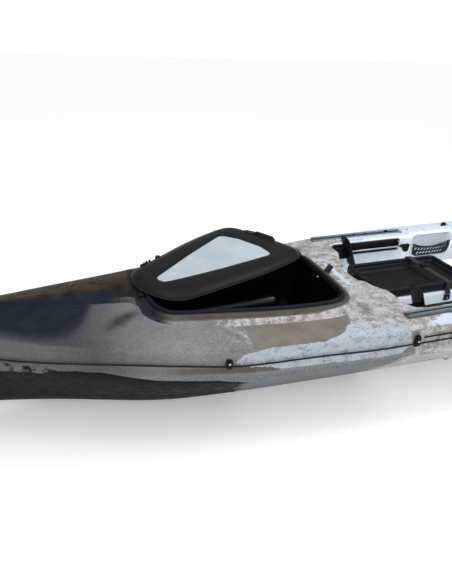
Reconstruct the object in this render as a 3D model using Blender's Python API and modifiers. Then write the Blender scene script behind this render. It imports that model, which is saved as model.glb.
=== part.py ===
"""Sit-on-top fishing kayak, 4.27 m long, modelled piece by piece.

Metres, +Z up. The bow points to -X and the stern to +X, the port side is -Y.
The keel's lowest line lies on z = 0 and the hull is centred on the origin.
Positions along the boat are given as s, the distance aft of the bow tip.
"""

import math

import bmesh
import bpy
import numpy as np
from mathutils import Matrix, Vector

# ---------------------------------------------------------------- driving dimensions
LENGTH = 4.27            # overall
WALL = 0.005             # moulded wall
GAP = 0.0003             # between touching pieces
CREASE_DROP = 0.085      # deck edge to lower chine, the band that holds the side channel
CHANNEL = 0.007          # depth of the side channel
CONSOLE_TOP = 0.300      # top of the moulded centre console
CONSOLE_HALF = 0.137     # its half width at the top
WELL_SIDE = 0.303        # inner cockpit wall, half width at the top
FOOT_FLOOR = 0.090
SEAT_FLOOR = 0.170
TANK_FLOOR = 0.200
PLATFORM_TOP = 0.374     # raised land round the front hatch
COAMING_TOP = 0.3765
GASKET_TOP = 0.386
LID_BOTTOM = 0.3866
LID_THICK = 0.024
LID_PIVOT_S = 0.815      # the lid swings on a post here, on the centreline
LID_SWING = math.radians(30.3)   # how far aside the lid lies at rest
LIFT_AXIS = (0.828, 0.3925)      # s and z of the lid's lift hinge, lid closed
ROPE_R = 0.003
TUBE_R = 0.0125          # seat tubing
SEAT_PIVOT = (2.765, 0.283)      # s and z
BACK_LEAN = math.radians(15.0)

# stations: s, half beam at the deck edge, deck edge height
HALF_BEAM = [(0, .010), (.05, .026), (.1, .045), (.2, .085), (.3, .122), (.38, .151), (.47, .185), (.57, .219),
             (.68, .253), (.82, .294), (.94, .319), (1.04, .337), (1.17, .357), (1.28, .368), (1.38, .378),
             (1.51, .393), (1.61, .401), (1.78, .411), (2.1, .424), (2.4, .430), (2.7, .427), (3.0, .412),
             (3.3, .382), (3.6, .325), (3.85, .250), (4.05, .165), (4.18, .085), (4.24, .035), (4.27, .010)]
EDGE_Z = [(0, .412), (.2, .389), (.38, .370), (.57, .356), (.74, .347), (.94, .340), (1.12, .336), (1.38, .336),
          (1.51, .338), (1.61, .342), (1.8, .348), (2.0, .352), (2.2, .354), (2.5, .355), (3.0, .351), (3.5, .350),
          (3.9, .363), (4.27, .388)]
KEEL_Z = [(0, .215), (.05, .150), (.12, .095), (.25, .045), (.45, .016), (.8, .002), (1.1, 0), (3.2, 0), (3.6, .006),
          (3.9, .030), (4.1, .070), (4.2, .115), (4.27, .185)]
CROWN_Z = [(0, .440), (.2, .427), (.4, .412), (.55, .405), (.70, .400), (.772, .397), (.80, .3705), (1.2, .367),
           (1.50, .366), (1.70, .369), (2.2, .374), (3.0, .373), (3.8, .374), (4.05, .388), (4.27, .405)]
EDGE_UP = [(0, .021), (1.45, .021), (1.70, .025), (3.3, .025), (4.27, .021)]   # deck edge to the gunwale's flat
RIDGE_Y = [(0, .0015), (.3, .010), (.4, .020), (.5, .034), (.65, .050), (.78, .064), (1.2, .070), (3.8, .060),
           (4.1, .030), (4.27, .0015)]
RECESS = [(0, 0.0005), (.3, .001), (.38, .012), (.5, .015), (.772, .016), (.80, .0005), (4.27, .0005)]

# plan of the front hatch, outer edge of its gasket: s, half width
HATCH_PLAN = [(.827, 0), (.832, .052), (.850, .105), (.886, .143), (.950, .160), (1.05, .178), (1.17, .200),
              (1.289, .216), (1.40, .222), (1.455, .217), (1.495, .197), (1.515, .160), (1.521, .105), (1.522, .05)]


def xs(s):
    return s - LENGTH / 2


def table(tab, s):
    """Smooth monotone interpolation of a station table."""
    px = [p[0] for p in tab]
    py = [p[1] for p in tab]
    n = len(px)
    if s <= px[0]:
        return py[0]
    if s >= px[-1]:
        return py[-1]
    h = [px[i + 1] - px[i] for i in range(n - 1)]
    d = [(py[i + 1] - py[i]) / h[i] for i in range(n - 1)]
    m = [d[0]] + [0.0 if d[i - 1] * d[i] <= 0 else
                  (h[i - 1] + h[i]) * 3 / ((2 * h[i] + h[i - 1]) / d[i - 1] + (h[i] + 2 * h[i - 1]) / d[i])
                  for i in range(1, n - 1)] + [d[-1]]
    i = max(k for k in range(n - 1) if px[k] <= s)
    t = (s - px[i]) / h[i]
    return ((2 * t ** 3 - 3 * t * t + 1) * py[i] + (t ** 3 - 2 * t * t + t) * h[i] * m[i]
            + (-2 * t ** 3 + 3 * t * t) * py[i + 1] + (t ** 3 - t * t) * h[i] * m[i + 1])


# ---------------------------------------------------------------- scene helpers
for old in list(bpy.data.objects):
    bpy.data.objects.remove(old, do_unlink=True)
PARTS = bpy.data.collections.new("fishing_kayak")
CUTS = bpy.data.collections.new("cutters")
bpy.context.scene.collection.children.link(PARTS)
bpy.context.scene.collection.children.link(CUTS)


def material(name, rgb, rough, metal=0.0):
    m = bpy.data.materials.new(name)
    m.use_nodes = True
    b = m.node_tree.nodes["Principled BSDF"]
    b.inputs["Base Color"].default_value = (*rgb, 1)
    b.inputs["Roughness"].default_value = rough
    b.inputs["Metallic"].default_value = metal
    m.diffuse_color = (*rgb, 1)
    return m


HULL_M = material("hull_plastic", (.42, .39, .35), .45)
BLACK_M = material("black_plastic", (.02, .02, .022), .35)
LINER_M = material("liner_plastic", (.008, .008, .009), .15)
RUBBER_M = material("gasket_rubber", (.02, .022, .035), .6)
PAD_M = material("foam_pad", (.48, .56, .62), .8)
POD_M = material("pod_plastic", (.03, .024, .02), .5)
ALU_M = material("aluminium", (.55, .57, .6), .3, 1.0)
ROPE_M = material("rope", (.015, .015, .018), .8)
WEB_M = material("webbing", (.015, .018, .03), .8)
MESH_M = material("mesh", (.02, .02, .02), .7)
SLING_M = material("sling_fabric", (.05, .055, .06), .9)


def link(obj, mat=None, cutter=False):
    (CUTS if cutter else PARTS).objects.link(obj)
    if cutter:
        obj.hide_render = True
        obj.display_type = "WIRE"
    if mat is not None:
        obj.data.materials.clear()
        obj.data.materials.append(mat)
    return obj


def smooth(obj, angle=35):
    obj.data.shade_smooth()
    obj.data.set_sharp_from_angle(angle=math.radians(angle))
    return obj


def from_bm(name, bm, mat=None, cutter=False, ang=35):
    bmesh.ops.recalc_face_normals(bm, faces=bm.faces)
    me = bpy.data.meshes.new(name)
    bm.to_mesh(me)
    bm.free()
    ob = link(bpy.data.objects.new(name, me), mat, cutter)
    return smooth(ob, ang)


def loft(name, rings, mat=None, cutter=False, cap=True, closed=False):
    """A skin over rings of equal point count, capped at both ends, or closed on itself."""
    bm = bmesh.new()
    vv = [[bm.verts.new(p) for p in r] for r in rings]
    n = len(rings[0])
    m = len(rings)
    for i in range(m if closed else m - 1):
        a, b = vv[i], vv[(i + 1) % m]
        for j in range(n):
            bm.faces.new((a[j], a[(j + 1) % n], b[(j + 1) % n], b[j]))
    if cap and not closed:
        bm.faces.new(vv[0][::-1])
        bm.faces.new(vv[-1])
    return from_bm(name, bm, mat, cutter)


def box(name, lo, hi, mat=None, cutter=False, bevel=0.0, seg=2):
    """An axis-aligned box; lo and hi give s, y and z."""
    bm = bmesh.new()
    c = Vector(((lo[0] + hi[0]) / 2, (lo[1] + hi[1]) / 2, (lo[2] + hi[2]) / 2))
    d = Vector((abs(hi[0] - lo[0]), abs(hi[1] - lo[1]), abs(hi[2] - lo[2])))
    bmesh.ops.create_cube(bm, size=1.0, matrix=Matrix.Diagonal((*d, 1)))
    ob = from_bm(name, bm, mat, cutter)
    ob.location = (xs(c.x), c.y, c.z)
    if bevel:
        m = ob.modifiers.new("round", "BEVEL")
        m.width = bevel
        m.segments = seg
        m.limit_method = "NONE"
    return ob


def cylinder(name, s, y, z, r, depth, mat=None, cutter=False, sides=20, axis="Z", r2=None):
    bm = bmesh.new()
    bmesh.ops.create_cone(bm, cap_ends=True, segments=sides, radius1=r, radius2=r if r2 is None else r2, depth=depth)
    ob = from_bm(name, bm, mat, cutter)
    ob.location = (xs(s), y, z)
    if axis == "X":
        ob.rotation_euler = (0, math.pi / 2, 0)
    elif axis == "Y":
        ob.rotation_euler = (math.pi / 2, 0, 0)
    return ob


def frustum(name, low, z0, high, z1, mat=None, cutter=False):
    """A solid between two flat outlines of equal point count, given as (s, y)."""
    return loft(name, [[(xs(s), y, z0) for s, y in low], [(xs(s), y, z1) for s, y in high]], mat, cutter)


def rrect(s0, s1, y0, y1, r, n=3):
    """A rounded rectangle, counter-clockwise."""
    pts = []
    for cs, cy, a0 in ((s1 - r, y1 - r, 0), (s0 + r, y1 - r, 90), (s0 + r, y0 + r, 180), (s1 - r, y0 + r, 270)):
        for k in range(n + 1):
            a = math.radians(a0 + 90 * k / n)
            pts.append((cs + r * math.cos(a), cy + r * math.sin(a)))
    return pts


def boolean(ob, other, op="DIFFERENCE"):
    m = ob.modifiers.new(op.lower(), "BOOLEAN")
    m.operation = op
    m.object = other
    m.solver = "EXACT"
    return m


def tube(name, pts, r, mat, cyclic=False, res=2, radii=None):
    """A round bar or rope along the given points (world metres)."""
    cu = bpy.data.curves.new(name, "CURVE")
    cu.dimensions = "3D"
    cu.bevel_depth = r
    cu.bevel_resolution = res
    cu.use_fill_caps = not cyclic
    cu.render_resolution_u = 0
    sp = cu.splines.new("POLY")
    sp.points.add(len(pts) - 1)
    for k, p in enumerate(pts):
        sp.points[k].co = (*p, 1)
        sp.points[k].radius = 1.0 if radii is None else radii[k]
    sp.use_cyclic_u = cyclic
    sp.use_smooth = True
    return link(bpy.data.objects.new(name, cu), mat)


def catmull(pts, per, closed=False):
    """Points on a smooth curve through pts."""
    P = [Vector(p) for p in pts]
    n = len(P)
    out = []
    for i in range(n if closed else n - 1):
        if closed:
            a, b, c, d = P[i - 1], P[i], P[(i + 1) % n], P[(i + 2) % n]
        else:
            a, b, c, d = P[max(i - 1, 0)], P[i], P[i + 1], P[min(i + 2, n - 1)]
        for k in range(per):
            t = k / per
            out.append(0.5 * ((2 * b) + (c - a) * t + (2 * a - 5 * b + 4 * c - d) * t * t
                              + (3 * b - a - 3 * c + d) * t ** 3))
    if not closed:
        out.append(P[-1])
    return out


def even(pts, n, closed=False):
    """n points spaced evenly along a polyline."""
    P = [Vector(p) for p in pts]
    if closed:
        P = P + [P[0]]
    acc = [0.0]
    for a, b in zip(P, P[1:]):
        acc.append(acc[-1] + (b - a).length)
    out = []
    m = n if closed else n - 1
    for k in range(n):
        d = acc[-1] * k / m
        i = max(j for j in range(len(acc) - 1) if acc[j] <= d + 1e-12)
        f = (d - acc[i]) / max(acc[i + 1] - acc[i], 1e-12)
        out.append(P[i].lerp(P[i + 1], min(f, 1)))
    return out


# ---------------------------------------------------------------- hull shape
MID = [(0, 0), (.30, 0), (.49, .10), (.665, .37), (.835, .63), (.952, .84), (1, 1)]
FULL = [(0, 0), (.33, 0), (.52, .12), (.72, .41), (.88, .69), (.97, .87), (1, 1)]
VEE = [(0, 0), (.14, .10), (.32, .27), (.54, .50), (.75, .73), (.91, .91), (1, 1)]


def section(s, t=0.0):
    """Half section at s from the keel to the deck centre, grown inward by t."""
    B, C, K = table(HALF_BEAM, s), table(EDGE_Z, s), table(KEEL_Z, s)
    zr, ry, dep = table(CROWN_Z, s), table(RIDGE_Y, s), table(RECESS, s)
    k = min(1.0, B / .30)
    drop = CREASE_DROP * (.35 + .65 * min(1, B / .15))
    ch = CHANNEL * min(1, B / .15)
    v = min(1, max(0, (s - .15) / .8)) * min(1, max(0, (LENGTH - .15 - s) / .7))
    v = v * v * (3 - 2 * v)
    f = min(1, max(0, (s - 1.8) / .5))
    low = C - drop
    pts = []
    for (a, b), (c, d), (e, g) in zip(MID, FULL, VEE):
        y = (a * (1 - f) + c * f) * v + e * (1 - v)
        z = (b * (1 - f) + d * f) * v + g * (1 - v)
        yo = y * (B + .003 * k)
        zo = K + z * (low - K)
        if t:
            yo = y * (B + .003 * k - 1.15 * t)
            zo = K + t + z * (low - K - .6 * t)
        pts.append((yo, zo))
    if t:
        pts += [(B - ch - 1.15 * t, low + drop * .16), (B - ch - 1.15 * t, C - drop * .26),
                (B - ch - 1.1 * t, C - .012 - .5 * t), (B - .012 * k - 1.2 * t, C - 1.1 * t)]
    else:
        pts += [(B - ch, low + drop * .16), (B - ch, C - drop * .26), (B - .0005, C - drop * .13), (B, C - .001)]
    y1 = max(B - .045 * k, ry + .004)
    z1 = C + table(EDGE_UP, s) * k
    if y1 < ry + .02:
        z1 = C + (zr - C) * .7
    d1 = (y1, min(z1, zr))
    d3 = (min(ry, y1 - .001), zr)
    d2 = ((d1[0] + d3[0]) / 2, (d1[1] + d3[1]) / 2 + .004 * k)
    if t:
        pts += [(d1[0] - .4 * t, d1[1] - 1.1 * t), (d2[0], min(d2[1], zr) - 1.1 * t), (d3[0] + .001, zr - dep - t),
                (d3[0] * .6, zr - dep - t), (0, zr - dep - t)]
    else:
        pts += [d1, d2, d3, (max(d3[0] - .004 * k, d3[0] * .6), zr - dep), (0, zr - dep)]
    return pts


def ring(s, t=0.0):
    half = section(s, t)
    return [(xs(s), y, z) for y, z in half] + [(xs(s), -y, z) for y, z in half[-2:0:-1]]


STATIONS = [.0, .02, .06, .12, .2, .3, .4, .5, .62, .74, .772, .80, .9, 1.04, 1.2, 1.38, 1.55, 1.66, 1.8, 2.0, 2.25,
            2.5, 2.75, 3.0, 3.2, 3.4, 3.6, 3.78, 3.92, 4.05, 4.15, 4.22, 4.255, 4.27]
INNER = [.22, .3, .45, .60, .73, .82, .95, 1.15, 1.38, 1.6, 1.9, 2.3, 2.7, 3.0, 3.3, 3.6, 3.82, 3.93, 4.02]


def deck_z(s, y):
    """Height of the lofted deck outboard of its ridge."""
    def at(t):
        pts = section(t)[9:]
        for (a, za), (b, zb) in zip(pts, pts[1:]):
            if b <= abs(y) <= a:
                return zb + (za - zb) * (abs(y) - b) / max(a - b, 1e-9)
        return pts[-1][1]
    i = max(k for k in range(len(STATIONS) - 1) if STATIONS[k] <= s)
    a, b = STATIONS[i], STATIONS[i + 1]
    return at(a) + (at(b) - at(a)) * (s - a) / (b - a)


# ---------------------------------------------------------------- hatch outline
BASE = even(catmull([(s, y, 0) for s, y in HATCH_PLAN] + [(s, -y, 0) for s, y in HATCH_PLAN[:0:-1]], 8, True), 64, True)
CENTRE = Vector((1.20, 0, 0))


def outline_distance(p):
    """Signed distance to the hatch outline, positive inside."""
    best, inside, n = 1e9, False, len(BASE)
    for i in range(n):
        a, b = BASE[i], BASE[(i + 1) % n]
        ab = b - a
        t = max(0, min(1, (p - a).dot(ab) / ab.dot(ab)))
        best = min(best, (p - (a + ab * t)).length)
        if (a.y > p.y) != (b.y > p.y) and p.x < (b.x - a.x) * (p.y - a.y) / (b.y - a.y) + a.x:
            inside = not inside
    return best if inside else -best


def hatch(off, n=48):
    """The hatch outline moved out by off (in, if negative), as (s, y) points."""
    out = []
    for q in even(BASE, n, True):
        u = (q - CENTRE).normalized()
        lo, hi = 0.0, (q - CENTRE).length + max(off, 0) * 3 + .01
        for _ in range(26):
            mid = (lo + hi) / 2
            if outline_distance(CENTRE + u * mid) > -off:
                lo = mid
            else:
                hi = mid
        p = CENTRE + u * lo
        out.append((p.x, p.y))
    return out


# ---------------------------------------------------------------- hull with its wells
hull = loft("hull", [ring(s) for s in STATIONS], HULL_M)
core = loft("cut_core", [ring(s, WALL) for s in INNER], None, True)

land = frustum("add_hatch_land", hatch(.056, 40), .350, hatch(.040, 40), PLATFORM_TOP, None, True)
lip_o = hatch(-.002, 40)
lip_i = hatch(-.018, 40)
lip = frustum("add_coaming_lip", lip_o, .360, lip_o, COAMING_TOP, None, True)


def well(name, *levels):
    """A cutter for a moulded well and, for the inner core, its jacket one wall thicker.

    levels are (outline, z) from the floor up; outline(g) gives (s, y) points grown by g."""
    def skin(tag, g, dz):
        rr = [[(xs(s), y, z - (dz if i == 0 else 0)) for s, y in o(g)] for i, (o, z) in enumerate(levels)]
        return loft(tag + name, rr, None, True)
    boolean(core, skin("jacket_", WALL, WALL))
    return skin("cut_", 0, 0)


def foot(sign):
    """Floor, turn of the bilge and top of a foot well."""
    def level(s0, s1, ya, yb):
        return lambda g: rrect(s0 - g, s1 + g, *sorted((sign * (ya - g), sign * (yb + g))), .03 + g)
    return level(1.740, 2.400, .150, .240), level(1.725, 2.415, .143, .2875), level(1.697, 2.470, .122, .312)


def upper(g):
    """Outline of the open cockpit above the console, with the notch for the pod latch."""
    half = [(2.95 + g, 0), (2.95 + g, .24), (2.92 + g * .7, .285 + g * .7), (2.86, WELL_SIDE + g), (1.75, WELL_SIDE + g),
            (1.708 - g, .290 + g * .7), (1.692 - g, .262), (1.690 - g, .172), (1.662 - g, .118 + g * .3),
            (1.658 - g, .080 + g * .6), (1.634 - g, .066 + g * .6), (1.630 - g, 0)]
    return half + [(s, -y) for s, y in half[-2:0:-1]]


def flared(w):
    """The same outline with its sides eased outward by w, for the rounded shoulder below the deck."""
    def outline(g):
        half = [(2.95 + g, 0), (2.95 + g, .24), (2.92 + g * .7, .285 + g * .7 + w), (2.86, WELL_SIDE + g + w),
                (1.75, WELL_SIDE + g + w), (1.708 - g, .290 + g * .7 + w), (1.692 - g, .262 + w * .5), (1.690 - g, .172),
                (1.662 - g, .118 + g * .3), (1.658 - g, .080 + g * .6), (1.634 - g, .066 + g * .6), (1.630 - g, 0)]
        return half + [(s, -y) for s, y in half[-2:0:-1]]
    return outline


def tank(g, w=0.0):
    half = [(3.80 + g + w, 0), (3.80 + g + w, .135), (3.765 + g, .172 + g * .7 + w), (3.19, .262 + g + w),
            (3.145 - g * .7, .240 + g * .7 + w), (3.13 - g - w, .20), (3.13 - g - w, 0)]
    return half + [(s, -y) for s, y in half[-2:0:-1]]


WELL_TOP = .46
cuts = [well("cockpit", (upper, CONSOLE_TOP), (upper, .345), (flared(.018), .372), (flared(.030), WELL_TOP))]
for tag, sg in (("port", -1), ("starboard", 1)):
    lo, mid, hi = foot(sg)
    cuts.append(well("foot_" + tag, (lo, FOOT_FLOOR), (mid, .165), (hi, WELL_TOP + .001)))
cuts.append(well("seat", (lambda g: rrect(2.312 - g, 2.895 + g, -.282 - g, .282 + g, .035 + g), SEAT_FLOOR),
                 (lambda g: rrect(2.300 - g, 2.915 + g, -.300 - g, .300 + g, .035 + g), WELL_TOP + .002)))
cuts.append(well("tank", (tank, TANK_FLOOR), (lambda g: tank(g, .018), WELL_TOP)))
for tag, sg in (("port", -1), ("starboard", 1)):
    def pk(name, g, cutter_z):
        y0, y1 = sorted((sg * .285, sg * (.332 + g)))
        return box(name, (2.182 - g, y0, .262 - g), (2.392 + g, y1, .352 + g * .5), None, True, bevel=.008, seg=2)
    c = pk("cut_pocket_" + tag, 0, 0)
    boolean(core, pk("jacket_pocket_" + tag, WALL * .8, 0))
    cuts.append(c)

RAIL_Y, RAIL_BED = .3425, .3617          # the gear tracks lie in channels moulded in the deck
for tag, sg in (("port", -1), ("starboard", 1)):
    def bed(g, sg=sg):
        return rrect(1.638 - g, 2.127 + g, *sorted((sg * (RAIL_Y - .0188 - g), sg * (RAIL_Y + .0188 + g))), .003 + g)
    cuts.append(well("rail_" + tag, (bed, RAIL_BED), (bed, WELL_TOP + .003)))

SCUPPERS = [(2.18, .225, FOOT_FLOOR), (2.18, -.225, FOOT_FLOOR), (3.45, .12, TANK_FLOOR), (3.45, -.12, TANK_FLOOR)]
holes = []
for i, (s, y, z) in enumerate(SCUPPERS):
    boolean(core, cylinder(f"jacket_scupper_{i}", s, y, .12, .023, .30, None, True, 16))
    holes.append(cylinder(f"cut_scupper_{i}", s, y, .12, .016, .34, None, True, 16))

ROD_S, ROD_Y, ROD_TILT = 3.035, .340, math.radians(24)
ROD_Z = max(deck_z(s, ROD_Y + dy) + (s - ROD_S) * math.tan(ROD_TILT) for s in (ROD_S, ROD_S + .031)
            for dy in (-.033, -.016, 0, .016, .033)) - .0020
for tag, sg in (("port", -1), ("starboard", 1)):
    c = cylinder("cut_rod_" + tag, ROD_S, sg * ROD_Y, ROD_Z, .0262, .14, None, True, 20)
    c.rotation_euler = (0, ROD_TILT, 0)
    holes.append(c)
HANDLE_Z = .341          # axis of the side carry handles
lugs = []
for tag, sg in (("port", -1), ("starboard", 1)):
    for k, s0 in enumerate((2.4500, 2.6556)):
        edge = table(HALF_BEAM, s0 + .007)
        y0, y1 = sorted((sg * (edge - .006), sg * (edge + .0185)))
        lugs.append(box(f"add_lug_{k}_{tag}", (s0, y0, .3325), (s0 + .0144, y1, .3500), None, True))
opening = frustum("cut_hatch", hatch(-.020, 40), .30, hatch(-.020, 40), .42, None, True)

boolean(hull, land, "UNION")
boolean(hull, lip, "UNION")
boolean(hull, core)
for c in cuts + [opening] + holes:
    boolean(hull, c)
for c in lugs:
    boolean(hull, c, "UNION")


# ---------------------------------------------------------------- front hatch: tub, gasket, lid
def stack(name, levels, mat, n=48, parent_turn=False):
    """A turned-like solid round the hatch outline: levels are (offset, z), closed on itself."""
    rings = [[(xs(s), y, z) for s, y in hatch(o, n)] for o, z in levels]
    return loft(name, rings, mat, closed=True)


def dish(name, outer, inner, mat, n=48):
    """A tub: outer levels from bottom to top, then inner levels from top to bottom."""
    rings = [[(xs(s), y, z) for s, y in hatch(o, n)] for o, z in outer + inner]
    return loft(name, rings, mat)


dish("hatch_liner_tub",
     [(-.075, .150), (-.052, .158), (-.040, .180), (-.0235, .340), (-.0205, .3785)],
     [(-.0235, .3785), (-.0265, .340), (-.043, .1835), (-.054, .1625), (-.075, .155)], LINER_M, 40)
stack("hatch_gasket", [(-.0145, COAMING_TOP + GAP), (-.0025, COAMING_TOP + GAP), (.000, COAMING_TOP + .004),
                       (-.0015, GASKET_TOP - .002), (-.0065, GASKET_TOP), (-.0125, GASKET_TOP - .0015),
                       (-.0155, COAMING_TOP + .005)], RUBBER_M)

turn = bpy.data.objects.new("lid_turn", None)      # the lid's swing axis
PARTS.objects.link(turn)
turn.location = (xs(LID_PIVOT_S), 0, 0)
turn.rotation_euler = (0, 0, LID_SWING)


def on_lid(ob):
    """Carry a piece that was drawn in the lid's closed place."""
    ob.parent = turn
    ob.matrix_parent_inverse = Matrix.Translation((-xs(LID_PIVOT_S), 0, 0))
    return ob


Z0, Z1 = LID_BOTTOM, LID_BOTTOM + LID_THICK
PAD_OFF = -.104


def lid_rings():
    lv = [(-.150, Z1 - .004), (PAD_OFF - .001, Z1 - .004), (PAD_OFF, Z1 - .0005), (-.070, Z1), (-.022, Z1 - .002),
          (-.004, Z1 - .008), (.005, Z1 - .016), (.004, Z0 + .004), (-.001, Z0), (-.024, Z0), (-.030, Z0 + .012),
          (-.150, Z0 + .014)]
    return [[(xs(s), y, z) for s, y in hatch(o, 48)] for o, z in lv]


on_lid(loft("hatch_lid_shell", lid_rings(), BLACK_M))
on_lid(frustum("hatch_lid_pad", hatch(PAD_OFF - .0016), Z1 - .0037, hatch(PAD_OFF - .0024), Z1 + .0012, PAD_M))
on_lid(box("hatch_lid_latch", (1.486, -.048, Z1 - .0005), (1.512, .048, Z1 + .0085), BLACK_M, bevel=.003))
post = cylinder("hatch_swivel_post", LID_PIVOT_S, 0, (PLATFORM_TOP + GAP + .3862) / 2, .010,
                .3862 - PLATFORM_TOP - GAP, BLACK_M, sides=24)
on_lid(post)
box("hatch_pull_tab", (1.5380, -.002, PLATFORM_TOP + GAP), (1.5480, .026, .403), WEB_M, bevel=.0015)

# ---------------------------------------------------------------- centre pod, its latch and strap
POD0, POD1, PODW, PODTOP = 1.703, 2.150, .128, .337
tray_out = rrect(POD0, POD1, -PODW, PODW, .022)
tray_top = rrect(POD0 + .001, POD1 - .001, -PODW + .001, PODW - .001, .021)
low_in = rrect(POD0 + .030, POD1 - .030, -PODW + .030, PODW - .030, .014)
high_in = rrect(POD0 + .019, POD1 - .019, -PODW + .019, PODW - .019, .014)
rings = [[(xs(s), y, z) for s, y in o] for o, z in (
    (rrect(POD0 + .004, POD1 - .004, -PODW + .004, PODW - .004, .02), CONSOLE_TOP + GAP),
    (tray_out, CONSOLE_TOP + .012), (tray_top, PODTOP - .002),
    (rrect(POD0 + .004, POD1 - .004, -PODW + .004, PODW - .004, .02), PODTOP),
    (rrect(POD0 + .014, POD1 - .014, -PODW + .014, PODW - .014, .016), PODTOP), (high_in, PODTOP - .004),
    (low_in, CONSOLE_TOP + .005))]
loft("pod_tray", rings, POD_M)
box("pod_latch_block", (1.640, -.047, CONSOLE_TOP + GAP), (1.7022, .050, .341), BLACK_M, bevel=.004)
cylinder("pod_latch_knob", 1.682, -.030, .3475, .0085, .012, BLACK_M, sides=16)


def band(name, path, s0, s1, thick, mat):
    """A flat strap: path gives (y, z) along its underside, from one end to the other."""
    P = [Vector((0, y, z)) for y, z in path]
    rings_ = []
    for i, p in enumerate(P):
        a = P[max(i - 1, 0)]
        b = P[min(i + 1, len(P) - 1)]
        t = (b - a).normalized()
        nrm = Vector((0, -t.z, t.y))
        q = p + nrm * thick
        rings_.append([(xs(s0), p.y, p.z), (xs(s1), p.y, p.z), (xs(s1), q.y, q.z), (xs(s0), q.y, q.z)])
    return loft(name, rings_, mat)


SX0, SX1 = 2.006, 2.030
band("pod_strap",
     [(-.1400, .2905), (-.1362, .3012), (-.1325, .307), (-.1305, .334), (-.125, .3385), (-.112, .3395), (-.05, .3385),
      (.05, .3385), (.112, .3395), (.125, .3385), (.1305, .334), (.1325, .307), (.1362, .3012), (.1400, .2905)],
     SX0, SX1, .0018, WEB_M)
box("pod_strap_buckle", (2.002, .008, .3425), (2.034, .044, .3500), BLACK_M, bevel=.002)
for tag, sg in (("port", -1), ("starboard", 1)):
    y0, y1 = sorted((sg * .1370, sg * .1480))
    e = box("pod_strap_eye_" + tag, (2.004, y0, .262), (2.032, y1, .288), BLACK_M, bevel=.003)

# ---------------------------------------------------------------- foot braces
PEDAL_S = 1.750
PEDAL_LEAN = 0.42
for tag, sg in (("port", -1), ("starboard", 1)):
    def yy(a, b):
        return sorted((sg * a, sg * b))
    # the track: a channel open toward the cockpit, holding the rod
    track = loft("foot_track_" + tag, [[(xs(a), sg * y, .302), (xs(2.085), sg * y, .302), (xs(2.085), sg * y, .356),
                                        (xs(a), sg * y, .356)] for a, y in ((1.716, .2812), (1.735, .2966))], BLACK_M)
    ya, yb = yy(.2700, .2936)
    slot = box("cut_track_" + tag, (1.7395, ya, .317), (2.090, yb, .341), None, True)
    boolean(track, slot)
    # carriage with a tongue in the slot, and the pedal on it
    y0, y1 = yy(.2480, .2808)
    block = [(PEDAL_S - .032, .3010), (PEDAL_S + .0332 + PEDAL_LEAN * .029 - .0008, .3010),
             (PEDAL_S + .0332 - PEDAL_LEAN * .022 - .0008, .3520), (PEDAL_S - .032, .3520)]
    loft("pedal_carriage_" + tag, [[(xs(s), y, z) for s, z in block] for y in (y0, y1)], BLACK_M)
    pedal = loft("pedal_plate_" + tag, [
        [(xs(PEDAL_S + dx + PEDAL_LEAN * (.330 - z)), sg * y, z) for y, z in
         [(.206, .276), (.214, .262), (.262, .262), (.2745, .272), (.2755, .398), (.268, .412), (.226, .416),
          (.208, .404)]] for dx in (.0335, .0395)], BLACK_M)
    y = sg * .2615
    rod0 = PEDAL_S + .0395 + PEDAL_LEAN * .0045 + .0008 + GAP       # from the back of the pedal plate
    cylinder("brace_rod_" + tag, (rod0 + 2.074) / 2, y, .329, .0035, 2.074 - rod0, ALU_M, sides=10, axis="X")
    grip = loft("brace_handle_" + tag, [
        [(xs(s), y + w * math.cos(a), .329 - drop + h * math.sin(a)) for a in
         [math.radians(30 * k) for k in range(12)]] for s, w, h, drop in (
            (2.0746, .0050, .0060, 0), (2.084, .0060, .0075, .001), (2.098, .0070, .0130, .006),
            (2.116, .0075, .0190, .011), (2.126, .0070, .0185, .012), (2.130, .0050, .0150, .012))], BLACK_M)

# ---------------------------------------------------------------- gunwale gear tracks
for tag, sg in (("port", -1), ("starboard", 1)):
    prof = [(-.0175, 0), (.0175, 0), (.0175, .0125), (.0060, .0125), (.0060, .0095), (.0135, .0095), (.0135, .0030),
            (-.0135, .0030), (-.0135, .0095), (-.0060, .0095), (-.0060, .0125), (-.0175, .0125)]
    loft("gear_track_" + tag, [[(xs(s), sg * RAIL_Y + y, RAIL_BED + GAP + z) for y, z in prof] for s in (1.640, 2.125)],
         ALU_M)

# ---------------------------------------------------------------- mesh pockets on the cockpit walls
for tag, sg in (("port", -1), ("starboard", 1)):
    rings = []
    for k in range(9):
        u = k / 8
        s = 2.176 + .222 * u
        bow = .2935 - .012 * (1 - (2 * u - 1) ** 2) ** .5 if 0 < u < 1 else .2935
        rings.append([(xs(s), sg * bow, .254), (xs(s), sg * (bow - .002), .254), (xs(s), sg * (bow - .004), .290),
                      (xs(s), sg * (bow - .003), .3185), (xs(s), sg * (bow - .001), .3185), (xs(s), sg * (bow - .002), .290)])
    loft("mesh_pocket_" + tag, rings, MESH_M)

# ---------------------------------------------------------------- side lines and their pad eyes
EYES = [.24, 1.026, 1.662, 2.93, 3.86]
LINE_DROP = [(0, .048), (.24, .050), (.286, .057), (.366, .0690), (.467, .0640), (.572, .0577), (.676, .0536), (.781, .050), (.893, .0531),
             (.998, .0589), (1.06, .060), (1.14, .0565), (1.387, .0511), (1.80, .0530), (4.27, .0530)]


def side_y(s):
    return table(HALF_BEAM, s) - CHANNEL * min(1, table(HALF_BEAM, s) / .15)


def line_z(s):
    return table(EDGE_Z, s) - table(LINE_DROP, s)


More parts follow.
